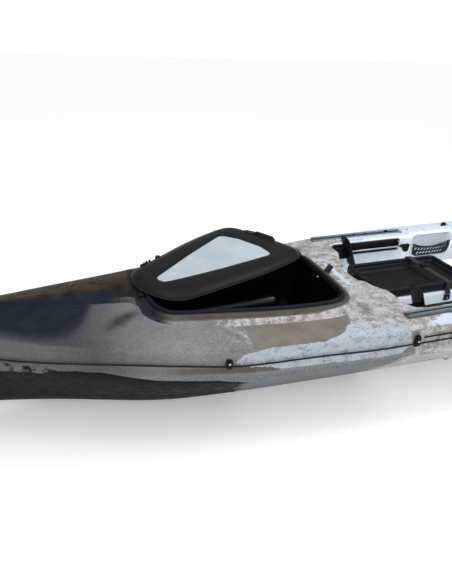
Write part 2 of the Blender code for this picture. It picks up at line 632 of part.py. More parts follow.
for tag, sg in (("port", -1), ("starboard", 1)):
    P = even([(xs(s), sg * (side_y(s) + .0075), line_z(s)) for s in np.linspace(.262, 3.838, 160)], 60)
    tube("side_line_" + tag, P, ROPE_R, ROPE_M)
    P = even([(xs(s), sg * (side_y(s) + .0075), line_z(s) + .022) for s in np.linspace(1.684, 2.905, 40)], 10)
    tube("trolley_line_" + tag, P, ROPE_R, ROPE_M)
    for i, s in enumerate(EYES):
        y = side_y(s)
        slope = math.atan2(side_y(s + .02) - side_y(s - .02), .04)
        tall = .046 if i in (2, 3) else .034
        zc = line_z(s) + (.0095 if i in (2, 3) else .008 if i == 1 else .010 if i == 0 else .001)
        eye = box(f"pad_eye_{i + 1}_{tag}", (s - .014, -.0075, zc - tall / 2), (s + .014, .0075, zc + tall / 2), BLACK_M,
                  bevel=.004, seg=2)
        eye.location = (xs(s), sg * (y + .0100), zc)
        eye.rotation_euler = (0, 0, sg * slope)
        if 0 < i < 4:
            bore = cylinder(f"cut_eye_{i + 1}_{tag}", s, sg * (y + .0075), line_z(s), .0042, .05, None, True, 10, "X")
            bore.rotation_euler = (0, math.pi / 2, sg * slope)
            boolean(eye, bore)

for tag, sg in (("port", -1), ("starboard", 1)):
    foot_z = max(deck_z(s, y) for s in (2.369, 2.401) for y in (.3415, .3450, .3485)) + GAP
    tube("gunwale_eye_" + tag, [(xs(s), sg * .3450, foot_z + h) for s, h in
                                ((2.372, 0), (2.372, .008), (2.379, .014), (2.391, .014), (2.398, .008), (2.398, 0))],
         .0035, BLACK_M, res=2)

# ---------------------------------------------------------------- carry handles
for name, s0, s1, h in (("bow_handle", .115, .275, .036), ("stern_handle", 4.165, 4.020, .036)):
    pts, rad = [], []
    for k in range(13):
        u = k / 12
        s = s0 + (s1 - s0) * u
        base = table(CROWN_Z, s0) + (table(CROWN_Z, s1) - table(CROWN_Z, s0)) * u
        pts.append((xs(s), 0, base + .0075 + h * math.sin(math.pi * u) ** .8 if 0 < u < 1 else base + .0075))
        rad.append(1.0 if .25 < u < .75 else .72)
    tube(name, pts, .0085, BLACK_M, res=2, radii=rad)

for tag, sg in (("port", -1), ("starboard", 1)):
    yb = table(HALF_BEAM, 2.56) + .0130
    corner = [(2.470, HANDLE_Z), (2.470, .285), (2.478, .268), (2.495, .260), (2.520, .259), (2.600, .259), (2.625, .260),
              (2.642, .268), (2.650, .285), (2.650, HANDLE_Z)]
    tube("side_handle_" + tag, [(xs(s), sg * yb, z) for s, z in corner], .0085, BLACK_M, res=2,
         radii=[.6, .6, .6, .7, 1, 1, .7, .6, .6, .6])

# ---------------------------------------------------------------- seat
def loop(s0, s1, w, z, r, n=4):
    return [(xs(s), y, z) for s, y in rrect(s0, s1, -w, w, r, n)]


SEAT0, SEAT1, SEATW, SEATZ = 2.335, 2.760, .200, .258
tube("seat_base_frame", loop(SEAT0 + TUBE_R, SEAT1 - TUBE_R, SEATW - TUBE_R, SEATZ, .045), TUBE_R, ALU_M, cyclic=True)
low = rrect(SEAT0 + .030, SEAT1 - .030, -SEATW + .030, SEATW - .030, .028)
rings = [[(xs(s), y, z) for s, y in rrect(SEAT0 + a, SEAT1 - a, -SEATW + a, SEATW - a, max(.030 - (a - .027) * .3, .006))]
         for a, z in ((.140, .2420), (.060, .2470), (.0275, .2550), (.0275, .2600), (.060, .2540), (.140, .2490))]
loft("seat_base_sling", rings, SLING_M)
for tag, sg in (("port", -1), ("starboard", 1)):
    y0, y1 = sorted((sg * .180, sg * .196))
    skid = box("seat_skid_" + tag, (2.470, y0, SEAT_FLOOR + GAP), (2.738, y1, SEATZ - TUBE_R - GAP), BLACK_M, bevel=.003, seg=1)
    ya, yb2 = sorted((sg * .16, sg * .22))
    boolean(skid, box("cut_skid_" + tag, (2.500, ya, .188), (2.690, yb2, .2265), None, True, bevel=.010, seg=2))
    # the cheek that carries the back's pivot, outboard of the frame
    y0, y1 = sorted((sg * .190, sg * .2140))
    boolean(skid, box("add_step_" + tag, (2.712, y0, .200), (2.7377, y1, SEATZ - TUBE_R - .0006), None, True), "UNION")
    y0, y1 = sorted((sg * .2004, sg * .2139))
    boolean(skid, box("add_cheek_" + tag, (2.722, y0, .205), (2.788, y1, .298), None, True, bevel=.006), "UNION")

hinge = bpy.data.objects.new("seat_back_turn", None)   # the back's recline axis
PARTS.objects.link(hinge)
hinge.location = (xs(SEAT_PIVOT[0]), 0, SEAT_PIVOT[1])
hinge.rotation_euler = (0, BACK_LEAN, 0)


def on_back(ob):
    ob.parent = hinge
    return ob


BW, BH = .2270, .430
pts = [(0, -BW, -.022), (0, -BW, .10), (.004, -BW, .20), (.004, -BW, .30), (0, -BW, BH - .07), (-.002, -BW + .006, BH - .035),
       (-.003, -BW + .026, BH - .009), (-.003, -BW + .058, BH), (-.003, 0, BH)]
pts = pts + [(x, -y, z) for x, y, z in pts[-2::-1]]
on_back(tube("seat_back_frame", pts, TUBE_R, ALU_M))
sl = []
for z, bulge in ((.060, .004), (.115, .016), (.20, .020), (.29, .012), (.36, .006), (.408, .004)):
    w = BW - TUBE_R - .002 - (.020 if z > .40 else 0)
    sl.append([(-.004, -w, z), (-.004 + bulge * .7, -w * .5, z), (-.004 + bulge, 0, z), (-.004 + bulge * .7, w * .5, z),
               (-.004, w, z), (.001, w, z), (.002 + bulge * .7, w * .5, z), (.002 + bulge, 0, z),
               (.002 + bulge * .7, -w * .5, z), (.001, -w, z)])
on_back(loft("seat_back_sling", sl, SLING_M))

# ---------------------------------------------------------------- rod holders, bungee, drain plug
for tag, sg in (("port", -1), ("starboard", 1)):
    bm = bmesh.new()
    prof = [(0, -.190), (.0235, -.190), (.0250, -.186), (.0250, .0030), (.0330, .0030), (.0330, .0060), (.0300, .0075),
            (.0225, .0075), (.0215, .0060), (.0215, -.184), (0, -.184)]
    vs = [bm.verts.new((r, 0, z)) for r, z in prof]
    for a, b in zip(vs, vs[1:]):
        bm.edges.new((a, b))
    me = bpy.data.meshes.new("rod_holder_" + tag)
    bm.to_mesh(me)
    bm.free()
    ob = link(bpy.data.objects.new("rod_holder_" + tag, me), BLACK_M)
    m = ob.modifiers.new("turn", "SCREW")
    m.axis = "Z"
    m.angle = 2 * math.pi
    m.steps = 20
    m.render_steps = 20
    m.use_merge_vertices = True
    m.merge_threshold = .0001
    m.use_normal_calculate = True
    m.use_smooth_shade = True
    ob.location = (xs(ROD_S), sg * ROD_Y, ROD_Z)
    ob.rotation_euler = (0, ROD_TILT, 0)

hooks = [(3.140, -.285), (3.140, .285), (3.360, -.268), (3.590, .222), (3.825, -.160), (3.825, .160), (3.590, -.222),
         (3.360, .268)]
cord = []
for i, (s, y) in enumerate(hooks):
    here = Vector((s, y, 0))
    ends = []
    if i:
        ends.append((Vector((*hooks[i - 1], 0)) - here).normalized())
    if i < len(hooks) - 1:
        ends.append((Vector((*hooks[i + 1], 0)) - here).normalized())
    if len(ends) == 1:
        cord.append(here)
        continue
    a, b = ends
    away = -(a + b).normalized()
    # round the hook on a small bend
    cord += [here + a * .016, here + a * .007 + away * .005, here + away * .008, here + b * .007 + away * .005,
             here + b * .016]
run = []
for i, (a, b) in enumerate(zip(cord, cord[1:])):
    n = 3 if (b - a).length > .1 else 1
    for k in range(n):
        q = a.lerp(b, k / n)
        # the last two crossings ride over the earlier ones
        over = .0085 if i >= 26 and abs(q.y) < .15 and n > 1 else 0.0
        run.append((xs(q.x), q.y, deck_z(q.x, max(abs(q.y), .10)) + .004 + over))
run.append((xs(cord[-1].x), cord[-1].y, deck_z(cord[-1].x, cord[-1].y) + .004))
tube("tankwell_bungee", run, .0025, ROPE_M, res=2)
rise = (deck_z(3.965, 0) - deck_z(3.925, 0)) / .040
plug = cylinder("drain_plug", 3.945, 0, deck_z(3.945, 0) + .0055 + GAP * 2, .017, .011, BLACK_M, sides=20)
plug.rotation_euler = (0, -math.atan(rise), 0)
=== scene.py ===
"""Looks of the fishing kayak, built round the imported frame.

Metres, +Z up, bow to -X, port to -Y. s is the distance aft of the bow tip.
"""
import math

import bmesh
import bpy
import numpy as np
from mathutils import Matrix, Vector, noise


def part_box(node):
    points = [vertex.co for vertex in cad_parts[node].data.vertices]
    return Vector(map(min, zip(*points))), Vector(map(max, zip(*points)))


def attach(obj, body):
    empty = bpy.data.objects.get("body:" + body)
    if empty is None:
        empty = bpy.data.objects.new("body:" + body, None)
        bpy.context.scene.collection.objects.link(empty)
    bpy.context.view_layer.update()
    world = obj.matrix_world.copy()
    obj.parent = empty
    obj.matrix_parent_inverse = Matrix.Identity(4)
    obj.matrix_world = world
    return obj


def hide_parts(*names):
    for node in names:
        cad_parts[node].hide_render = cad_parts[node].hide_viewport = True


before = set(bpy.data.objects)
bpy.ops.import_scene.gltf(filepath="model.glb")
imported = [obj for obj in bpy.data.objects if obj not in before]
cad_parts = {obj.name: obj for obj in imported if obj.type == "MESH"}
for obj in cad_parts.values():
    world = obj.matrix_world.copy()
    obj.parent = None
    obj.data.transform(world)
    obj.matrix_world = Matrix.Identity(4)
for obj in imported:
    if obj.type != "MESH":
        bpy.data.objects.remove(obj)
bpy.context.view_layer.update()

LENGTH = 4.27


def xs(s):
    return s - LENGTH / 2


# ---------------------------------------------------------------- camera
F, CX, CY, WID, HEI = 461.0, 226.0, 292.0, 452, 584
YAW, PITCH, ROLL = math.radians(18.9), math.radians(28.4), math.radians(-1.9)
f_ = Vector((math.sin(YAW) * math.cos(PITCH), math.cos(YAW) * math.cos(PITCH), -math.sin(PITCH)))
r0 = Vector((math.cos(YAW), -math.sin(YAW), 0))
d0 = f_.cross(r0).normalized()
if d0.z > 0:
    d0 = -d0
r_ = (math.cos(ROLL) * r0 + math.sin(ROLL) * d0).normalized()
d_ = (-math.sin(ROLL) * r0 + math.cos(ROLL) * d0).normalized()
cam_data = bpy.data.cameras.new("camera")
cam = bpy.data.objects.new("camera", cam_data)
bpy.context.scene.collection.objects.link(cam)
m = Matrix((r_, -d_, -f_)).transposed().to_4x4()
m.translation = Vector((-1.495, -1.407, 1.155))
cam.matrix_world = m
cam_data.sensor_width = 36
cam_data.lens = F * 36 / HEI
cam_data.clip_start = .05
bpy.context.scene.camera = cam

# ---------------------------------------------------------------- boat tables, as in the frame
WALL = .005
CREASE_DROP, CHANNEL = .085, .007
HALF_BEAM = [(0, .010), (.05, .026), (.1, .045), (.2, .085), (.3, .122), (.38, .151), (.47, .185), (.57, .219),
             (.68, .253), (.82, .294), (.94, .319), (1.04, .337), (1.17, .357), (1.28, .368), (1.38, .378),
             (1.51, .393), (1.61, .401), (1.78, .411), (2.1, .424), (2.4, .430), (2.7, .427), (3.0, .412),
             (3.3, .382), (3.6, .325), (3.85, .250), (4.05, .165), (4.18, .085), (4.24, .035), (4.27, .010)]
EDGE_Z = [(0, .412), (.2, .389), (.38, .370), (.57, .356), (.74, .347), (.94, .340), (1.12, .336), (1.38, .336),
          (1.51, .338), (1.61, .342), (1.8, .348), (2.0, .352), (2.2, .354), (2.5, .355), (3.0, .351), (3.5, .350),
          (3.9, .363), (4.27, .388)]
KEEL_Z = [(0, .215), (.05, .150), (.12, .095), (.25, .045), (.45, .016), (.8, .002), (1.1, 0), (3.2, 0), (3.6, .006),
          (3.9, .030), (4.1, .070), (4.2, .115), (4.27, .185)]
CROWN_Z = [(0, .440), (.2, .427), (.4, .412), (.55, .405), (.70, .400), (.772, .397), (.80, .3705), (1.2, .367),
           (1.50, .366), (1.70, .369), (2.2, .374), (3.0, .373), (3.8, .374), (4.05, .388), (4.27, .405)]
EDGE_UP = [(0, .021), (1.45, .021), (1.70, .025), (3.3, .025), (4.27, .021)]
RIDGE_Y = [(0, .0015), (.3, .010), (.4, .020), (.5, .034), (.65, .050), (.78, .064), (1.2, .070), (3.8, .060),
           (4.1, .030), (4.27, .0015)]
RECESS = [(0, 0.0005), (.3, .001), (.38, .012), (.5, .015), (.772, .016), (.80, .0005), (4.27, .0005)]
HATCH_PLAN = [(.827, 0), (.832, .052), (.850, .105), (.886, .143), (.950, .160), (1.05, .178), (1.17, .200),
              (1.289, .216), (1.40, .222), (1.455, .217), (1.495, .197), (1.515, .160), (1.521, .105), (1.522, .05)]
MID = [(0, 0), (.30, 0), (.49, .10), (.665, .37), (.835, .63), (.952, .84), (1, 1)]
FULL = [(0, 0), (.33, 0), (.52, .12), (.72, .41), (.88, .69), (.97, .87), (1, 1)]
VEE = [(0, 0), (.14, .10), (.32, .27), (.54, .50), (.75, .73), (.91, .91), (1, 1)]
LINE_DROP = [(0, .048), (.24, .050), (.286, .057), (.366, .0690), (.467, .0640), (.572, .0577), (.676, .0536), (.781, .050),
             (.893, .0531), (.998, .0589), (1.06, .060), (1.14, .0565), (1.387, .0511), (1.80, .0530), (4.27, .0530)]
RAIL_Y, RAIL_BED = .3425, .3587
CONSOLE_TOP, WELL_SIDE, FOOT_FLOOR, SEAT_FLOOR, TANK_FLOOR = .300, .303, .090, .170, .200
PLATFORM_TOP, COAMING_TOP, GASKET_TOP, LID_BOTTOM, LID_THICK = .374, .3765, .386, .3866, .024
LID_PIVOT_S, LID_SWING = .815, math.radians(30.3)
ROD_S, ROD_Y, ROD_TILT, ROD_Z = 3.035, .340, math.radians(24), .38628
SEAT_PIVOT, BACK_LEAN, TUBE_R = (2.765, .283), math.radians(15.0), .0125
PEDAL_S, PEDAL_LEAN = 1.750, .42


def table(tab, s):
    px = [p[0] for p in tab]
    py = [p[1] for p in tab]
    n = len(px)
    if s <= px[0]:
        return py[0]
    if s >= px[-1]:
        return py[-1]
    h = [px[i + 1] - px[i] for i in range(n - 1)]
    d = [(py[i + 1] - py[i]) / h[i] for i in range(n - 1)]
    mm = [d[0]] + [0.0 if d[i - 1] * d[i] <= 0 else
                   (h[i - 1] + h[i]) * 3 / ((2 * h[i] + h[i - 1]) / d[i - 1] + (h[i] + 2 * h[i - 1]) / d[i])
                   for i in range(1, n - 1)] + [d[-1]]
    i = max(k for k in range(n - 1) if px[k] <= s)
    t = (s - px[i]) / h[i]
    return ((2 * t ** 3 - 3 * t * t + 1) * py[i] + (t ** 3 - 2 * t * t + t) * h[i] * mm[i]
            + (-2 * t ** 3 + 3 * t * t) * py[i + 1] + (t ** 3 - t * t) * h[i] * mm[i + 1])


GRID_S = np.linspace(0, LENGTH, 855)
GRID = {name: np.array([table(tab, s) for s in GRID_S]) for name, tab in
        (("B", HALF_BEAM), ("C", EDGE_Z), ("K", KEEL_Z), ("Z", CROWN_Z), ("U", EDGE_UP), ("R", RIDGE_Y), ("D", RECESS))}


def at(name, s):
    return np.interp(s, GRID_S, GRID[name])


def section(s):
    """Half section at s from the keel to the deck centre."""
    B, C, K, zr, ry, dep = (float(at(k, s)) for k in "BCKZRD")
    k = min(1.0, B / .30)
    drop = CREASE_DROP * (.35 + .65 * min(1, B / .15))
    ch = CHANNEL * min(1, B / .15)
    v = min(1, max(0, (s - .15) / .8)) * min(1, max(0, (LENGTH - .15 - s) / .7))
    v = v * v * (3 - 2 * v)
    f = min(1, max(0, (s - 1.8) / .5))
    low = C - drop
    pts = []
    for (a, b), (c, d), (e, g) in zip(MID, FULL, VEE):
        y = (a * (1 - f) + c * f) * v + e * (1 - v)
        z = (b * (1 - f) + d * f) * v + g * (1 - v)
        pts.append((y * (B + .003 * k), K + z * (low - K)))
    pts += [(B - ch, low + drop * .16), (B - ch, C - drop * .26), (B - .0005, C - drop * .13), (B, C - .001)]
    y1 = max(B - .045 * k, ry + .004)
    z1 = C + float(at("U", s)) * k
    if y1 < ry + .02:
        z1 = C + (zr - C) * .7
    d1 = (y1, min(z1, zr))
    d3 = (min(ry, y1 - .001), zr)
    d2 = ((d1[0] + d3[0]) / 2, (d1[1] + d3[1]) / 2 + .004 * k)
    return pts + [d1, d2, d3, (max(d3[0] - .004 * k, d3[0] * .6), zr - dep), (0, zr - dep)]


def catmull(pts, per, closed=False):
    P = [Vector(p) for p in pts]
    n = len(P)
    out = []
    for i in range(n if closed else n - 1):
        if closed:
            a, b, c, d = P[i - 1], P[i], P[(i + 1) % n], P[(i + 2) % n]
        else:
            a, b, c, d = P[max(i - 1, 0)], P[i], P[i + 1], P[min(i + 2, n - 1)]
        for k in range(per):
            t = k / per
            out.append(0.5 * ((2 * b) + (c - a) * t + (2 * a - 5 * b + 4 * c - d) * t * t
                              + (3 * b - a - 3 * c + d) * t ** 3))
    if not closed:
        out.append(P[-1])
    return out


def even(pts, n, closed=False):
    P = [Vector(p) for p in pts]
    if closed:
        P = P + [P[0]]
    acc = [0.0]
    for a, b in zip(P, P[1:]):
        acc.append(acc[-1] + (b - a).length)
    out = []
    m_ = n if closed else n - 1
    i = 0
    for k in range(n):
        d = acc[-1] * k / m_
        while i < len(acc) - 2 and acc[i + 1] < d:
            i += 1
        f = (d - acc[i]) / max(acc[i + 1] - acc[i], 1e-12)
        out.append(P[i].lerp(P[i + 1], min(max(f, 0), 1)))
    return out


BASE = even(catmull([(s, y, 0) for s, y in HATCH_PLAN] + [(s, -y, 0) for s, y in HATCH_PLAN[:0:-1]], 12, True), 240, True)
BASE_NP = np.array([(p.x, p.y) for p in BASE])
CENTRE = Vector((1.20, 0, 0))


def outline_distance(P):
    """Signed distances of (n, 2) points to the hatch outline, positive inside."""
    P = np.atleast_2d(P)
    best = np.full(len(P), 1e9)
    inside = np.zeros(len(P), bool)
    A, Bn = BASE_NP, np.roll(BASE_NP, -1, 0)
    for a, b in zip(A, Bn):
        ab = b - a
        t = np.clip(((P - a) @ ab) / (ab @ ab), 0, 1)
        best = np.minimum(best, np.hypot(*(P - (a + t[:, None] * ab)).T))
        if a[1] != b[1]:
            inside ^= ((a[1] > P[:, 1]) != (b[1] > P[:, 1])) & (P[:, 0] < (b[0] - a[0]) * (P[:, 1] - a[1]) / (b[1] - a[1]) + a[0])
    return np.where(inside, best, -best)


_hatch = {}


def hatch(off, n=48):
    """The hatch outline moved out by off (in, if negative), as (s, y) points."""
    key = (round(off, 5), n)
    if key not in _hatch:
        q = np.array([(p.x, p.y) for p in even(BASE, n, True)])
        c = np.array((CENTRE.x, CENTRE.y))
        u = q - c
        rad = np.hypot(*u.T)
        u = u / rad[:, None]
        lo, hi = np.zeros(n), rad + max(off, 0) * 3 + .01
        for _ in range(22):
            mid = (lo + hi) / 2
            ins = outline_distance(c + u * mid[:, None]) > -off
            lo = np.where(ins, mid, lo)
            hi = np.where(ins, hi, mid)
        p = c + u * lo[:, None]
        _hatch[key] = [(float(a), float(b)) for a, b in p]
    return _hatch[key]


# ---------------------------------------------------------------- mesh helpers
def smooth(ob, angle=35):
    ob.data.shade_smooth()
    if angle:
        ob.data.set_sharp_from_angle(angle=math.radians(angle))
    return ob


def add(name, me, mat=None):
    ob = bpy.data.objects.new(name, me)
    bpy.context.scene.collection.objects.link(ob)
    if mat is not None:
        ob.data.materials.clear()
        ob.data.materials.append(mat)
    return ob


def from_bm(name, bm, mat=None, ang=35, recalc=True):
    if recalc:
        bmesh.ops.recalc_face_normals(bm, faces=bm.faces)
    me = bpy.data.meshes.new(name)
    bm.to_mesh(me)
    bm.free()
    return smooth(add(name, me, mat), ang)


def loft(name, rings, mat=None, cap=True, closed=False, ang=35, wrap=True):
    bm = bmesh.new()
    vv = [[bm.verts.new(p) for p in r] for r in rings]
    n, m_ = len(rings[0]), len(rings)
    for i in range(m_ if closed else m_ - 1):
        a, b = vv[i], vv[(i + 1) % m_]
        for j in range(n if wrap else n - 1):
            bm.faces.new((a[j], a[(j + 1) % n], b[(j + 1) % n], b[j]))
    if cap and not closed and wrap:
        bm.faces.new(vv[0][::-1])
        bm.faces.new(vv[-1])
    return from_bm(name, bm, mat, ang)


def bake(ob, keep=False):
    """Put the evaluated mesh in the object, world placed, with no modifiers left."""
    dg = bpy.context.evaluated_depsgraph_get()
    dg.update()
    me = bpy.data.meshes.new_from_object(ob.evaluated_get(dg))
    me.transform(ob.matrix_world)
    mats = [s_.material for s_ in ob.material_slots]
    new = bpy.data.objects.new(ob.name, me)
    name = ob.name
    bpy.context.scene.collection.objects.link(new)
    if not me.materials:
        for mt in mats:
            me.materials.append(mt)
    bpy.data.objects.remove(ob, do_unlink=True)
    new.name = name
    return new


def join(name, obs):
    """Several placed objects as one piece, each closed part kept closed."""
    bm = bmesh.new()
    mats = []
    for ob in obs:
        dg = bpy.context.evaluated_depsgraph_get()
        dg.update()
        me = bpy.data.meshes.new_from_object(ob.evaluated_get(dg))
        me.transform(ob.matrix_world)
        start = len(bm.faces)
        bm.from_mesh(me)
        bm.faces.ensure_lookup_table()
        mt = ob.material_slots[0].material if ob.material_slots else None
        if mt not in mats:
            mats.append(mt)
        for f in bm.faces[start:]:
            f.material_index = mats.index(mt)
        bpy.data.meshes.remove(me)
    me = bpy.data.meshes.new(name)
    bm.to_mesh(me)
    bm.free()
    for mt in mats:
        me.materials.append(mt)
    for ob in obs:
        bpy.data.objects.remove(ob, do_unlink=True)
    return add(name, me)


def bevel(ob, w, seg=3, limit=None):
    mo = ob.modifiers.new("round", "BEVEL")
    mo.width = w
    mo.segments = seg
    if limit is None:
        mo.limit_method = "NONE"
    else:
        mo.limit_method = "ANGLE"
        mo.angle_limit = math.radians(limit)
    return ob


def box(name, lo, hi, mat=None, rnd=0.0, seg=3, rot=None):
    """A box; lo and hi give s, y, z."""
    bm = bmesh.new()
    lo, hi = Vector((xs(lo[0]), lo[1], lo[2])), Vector((xs(hi[0]), hi[1], hi[2]))
    d = hi - lo
    bmesh.ops.create_cube(bm, size=1.0, matrix=Matrix.Diagonal((abs(d.x), abs(d.y), abs(d.z), 1)))
    if rnd:
        bmesh.ops.bevel(bm, geom=bm.edges[:], offset=rnd, segments=seg, profile=.5, affect="EDGES")
    ob = from_bm(name, bm, mat, 40)
    ob.location = (lo + hi) / 2
    if rot:
        ob.rotation_euler = rot
    return ob


def lathe(name, prof, at_, mat=None, steps=32, axis=None, ang=35):
    """A turned solid: prof is (r, z) from one end of the axis to the other; axis is its direction."""
    bm = bmesh.new()
    rings = [[bm.verts.new((r * math.cos(2 * math.pi * k / steps), r * math.sin(2 * math.pi * k / steps), z))
              for k in range(steps)] for r, z in prof if r > 1e-7]
    for a, b in zip(rings, rings[1:]):
        for j in range(steps):
            bm.faces.new((a[j], a[(j + 1) % steps], b[(j + 1) % steps], b[j]))
    bm.faces.new(rings[0][::-1])
    bm.faces.new(rings[-1])
    ob = from_bm(name, bm, mat, ang)
    if axis is not None:
        ob.rotation_mode = "QUATERNION"
        ob.rotation_quaternion = Vector((0, 0, 1)).rotation_difference(Vector(axis).normalized())
    ob.location = at_
    return ob


def tube(name, pts, r, mat=None, cyclic=False, sides=12, radii=None, squash_=None, smooth_ang=45):
    """A round bar through the points, as a mesh with closed ends. squash_ is (width, height) factors."""
    P = [Vector(p) for p in pts]
    n = len(P)
    bm = bmesh.new()
    rings = []
    prev = None
    for i in range(n):
        if cyclic:
            t = (P[(i + 1) % n] - P[i - 1]).normalized()
        else:
            t = (P[min(i + 1, n - 1)] - P[max(i - 1, 0)]).normalized()
        if prev is None:
            up = Vector((0, 0, 1)) if abs(t.z) < .9 else Vector((0, 1, 0))
            u = (up - t * up.dot(t)).normalized()
        else:
            u = (prev - t * prev.dot(t)).normalized()
        prev = u
        w = t.cross(u)
        rr = r * (1 if radii is None else radii[i])
        su, sw = squash_ or (1, 1)
        rings.append([bm.verts.new(P[i] + (u * math.cos(a) * su + w * math.sin(a) * sw) * rr)
                      for a in [2 * math.pi * k / sides for k in range(sides)]])
    for i in range(n if cyclic else n - 1):
        a, b = rings[i], rings[(i + 1) % n]
        shift = 0
        if cyclic and i == n - 1:
            shift = min(range(sides), key=lambda q: (a[0].co - b[q].co).length)
        for j in range(sides):
            bm.faces.new((a[j], a[(j + 1) % sides], b[(j + 1 + shift) % sides], b[(j + shift) % sides]))
    if not cyclic:
        bm.faces.new(rings[0][::-1])
        bm.faces.new(rings[-1])
    return from_bm(name, bm, mat, smooth_ang)


def rrect(s0, s1, y0, y1, r, n=8):
    pts = []
    for cs, cy, a0 in ((s1 - r, y1 - r, 0), (s0 + r, y1 - r, 90), (s0 + r, y0 + r, 180), (s1 - r, y0 + r, 270)):
        for k in range(n + 1):
            a = math.radians(a0 + 90 * k / n)
            pts.append((cs + r * math.cos(a), cy + r * math.sin(a)))
    return pts


def stack(levels, n=48):
    """Rings round a hatch outline from (offset, z) levels."""
    return [[(xs(s), y, z) for s, y in hatch(o, n)] for o, z in levels]


def fillet(pts, r, n=5, closed=False):
    """A polyline of 2-D points with its corners rounded by r (or a radius each)."""
    P = [Vector((p[0], p[1])) for p in pts]
    N = len(P)
    rad = [r] * N if not isinstance(r, (list, tuple)) else list(r)
    out = []
    for i, p in enumerate(P):
        if not closed and i in (0, N - 1):
            out.append((p.x, p.y))
            continue
        a, b = P[i - 1] - p, P[(i + 1) % N] - p
        la, lb = a.length, b.length
        if la < 1e-9 or lb < 1e-9 or rad[i] <= 0:
            out.append((p.x, p.y))
            continue
        a, b = a / la, b / lb
        ang = math.acos(max(-1, min(1, a.dot(b))))
        if ang > math.radians(176):
            out.append((p.x, p.y))
            continue
        t = min(rad[i] / math.tan(ang / 2), la * .49, lb * .49)
        rr = t * math.tan(ang / 2)
        c = p + (a + b).normalized() * (rr / math.sin(ang / 2))
        v0, v1 = p + a * t - c, p + b * t - c
        full = v0.angle_signed(v1)
        for k in range(n + 1):
            q = v0.copy()
            q.rotate(Matrix.Rotation(-full * k / n, 2))
            out.append((c.x + q.x, c.y + q.y))
    return out


def deck_z(s, y):
    pts = section(s)[9:]
    y = abs(y)
    for (a, za), (b, zb) in zip(pts, pts[1:]):
        if b <= y <= a:
            return zb + (za - zb) * (y - b) / max(a - b, 1e-9)
    return pts[-1][1]


def side_y(s):
    B = float(at("B", s))
    return B - CHANNEL * min(1, B / .15)


def line_z(s):
    return float(at("C", s)) - table(LINE_DROP, s)


# ---------------------------------------------------------------- materials
def node_material(name, rgb, rough, metal=0.0, **sockets):
    mt = bpy.data.materials.new(name)
    mt.use_nodes = True
    b = mt.node_tree.nodes["Principled BSDF"]
    b.inputs["Base Color"].default_value = (*rgb, 1)
    b.inputs["Roughness"].default_value = rough
    b.inputs["Metallic"].default_value = metal
    for k, v in sockets.items():
        b.inputs[k.replace("_", " ")].default_value = v
    mt.diffuse_color = (*rgb, 1)
    return mt, mt.node_tree, b


class Tree:
    """Short hands for building a node tree."""

    def __init__(self, nt):
        self.nt = nt

    def n(self, kind, **kw):
        nd = self.nt.nodes.new(kind)
        for k, v in kw.items():
            setattr(nd, k, v)
        return nd

    def link(self, a, b):
        self.nt.links.new(a, b)

    def coord(self, scale=(1, 1, 1)):
        tc = self.n("ShaderNodeTexCoord")
        mp = self.n("ShaderNodeMapping")
        mp.inputs["Scale"].default_value = scale
        self.link(tc.outputs["Object"], mp.inputs["Vector"])
        return mp.outputs["Vector"]

    def noise(self, scale, detail=4, rough=.55, vec=None, dist=0.0):
        nd = self.n("ShaderNodeTexNoise")
        nd.inputs["Scale"].default_value = scale
        nd.inputs["Detail"].default_value = detail
        nd.inputs["Roughness"].default_value = rough
        nd.inputs["Distortion"].default_value = dist
        if vec is not None:
            self.link(vec, nd.inputs["Vector"])
        return nd.outputs["Fac"]

    def math(self, op, a, b=None, clamp=False):
        nd = self.n("ShaderNodeMath", operation=op)
        nd.use_clamp = clamp
        for i, v in enumerate((a, b)):
            if v is None:
                continue
            if isinstance(v, (int, float)):
                nd.inputs[i].default_value = v
            else:
                self.link(v, nd.inputs[i])
        return nd.outputs[0]

    def step(self, v, lo, hi, a=0.0, b=1.0, smooth_=True):
        nd = self.n("ShaderNodeMapRange")
        nd.interpolation_type = "SMOOTHSTEP" if smooth_ else "LINEAR"
        for k, x in (("From Min", lo), ("From Max", hi), ("To Min", a), ("To Max", b)):
            nd.inputs[k].default_value = x
        self.link(v, nd.inputs["Value"])
        return nd.outputs["Result"]

    def mix(self, fac, a, b):
        nd = self.n("ShaderNodeMix", data_type="RGBA")
        for sock, v in ((nd.inputs[0], fac), (nd.inputs[6], a), (nd.inputs[7], b)):
            if isinstance(v, (int, float)):
                sock.default_value = v
            elif isinstance(v, tuple):
                sock.default_value = (*v, 1)
            else:
                self.link(v, sock)
        return nd.outputs[2]

    def attr(self, name):
        nd = self.n("ShaderNodeAttribute", attribute_type="GEOMETRY", attribute_name=name)
        return nd.outputs["Fac"]

    def bump(self, height, dist, strength=1.0, normal=None):
        nd = self.n("ShaderNodeBump")
        nd.inputs["Distance"].default_value = dist
        nd.inputs["Strength"].default_value = strength
        self.link(height, nd.inputs["Height"])
        if normal is not None:
            self.link(normal, nd.inputs["Normal"])
        return nd.outputs["Normal"]


def plastic(name, rgb, rough, peel=.0002, peel_scale=260, tint=.15, tone=None, rough_var=.08, **sockets):
    """Moulded plastic: a faint orange peel, slight mottling, and roughness that varies a little."""
    mt, nt, b = node_material(name, rgb, rough, 0.0, **sockets)
    t = Tree(nt)
    v = t.coord()
    big = t.noise(9, 5, .6, v)
    fine = t.noise(peel_scale, 2, .5, v)
    tone = tone or tuple(min(1, c * (1 + tint) + .004) for c in rgb)
    t.link(t.mix(t.step(big, .35, .7), rgb, tone), b.inputs["Base Color"])
    t.link(t.step(t.noise(30, 4, .6, v), .3, .7, max(.02, rough - rough_var), min(1, rough + rough_var)), b.inputs["Roughness"])
    t.link(t.bump(fine, peel), b.inputs["Normal"])
    return mt


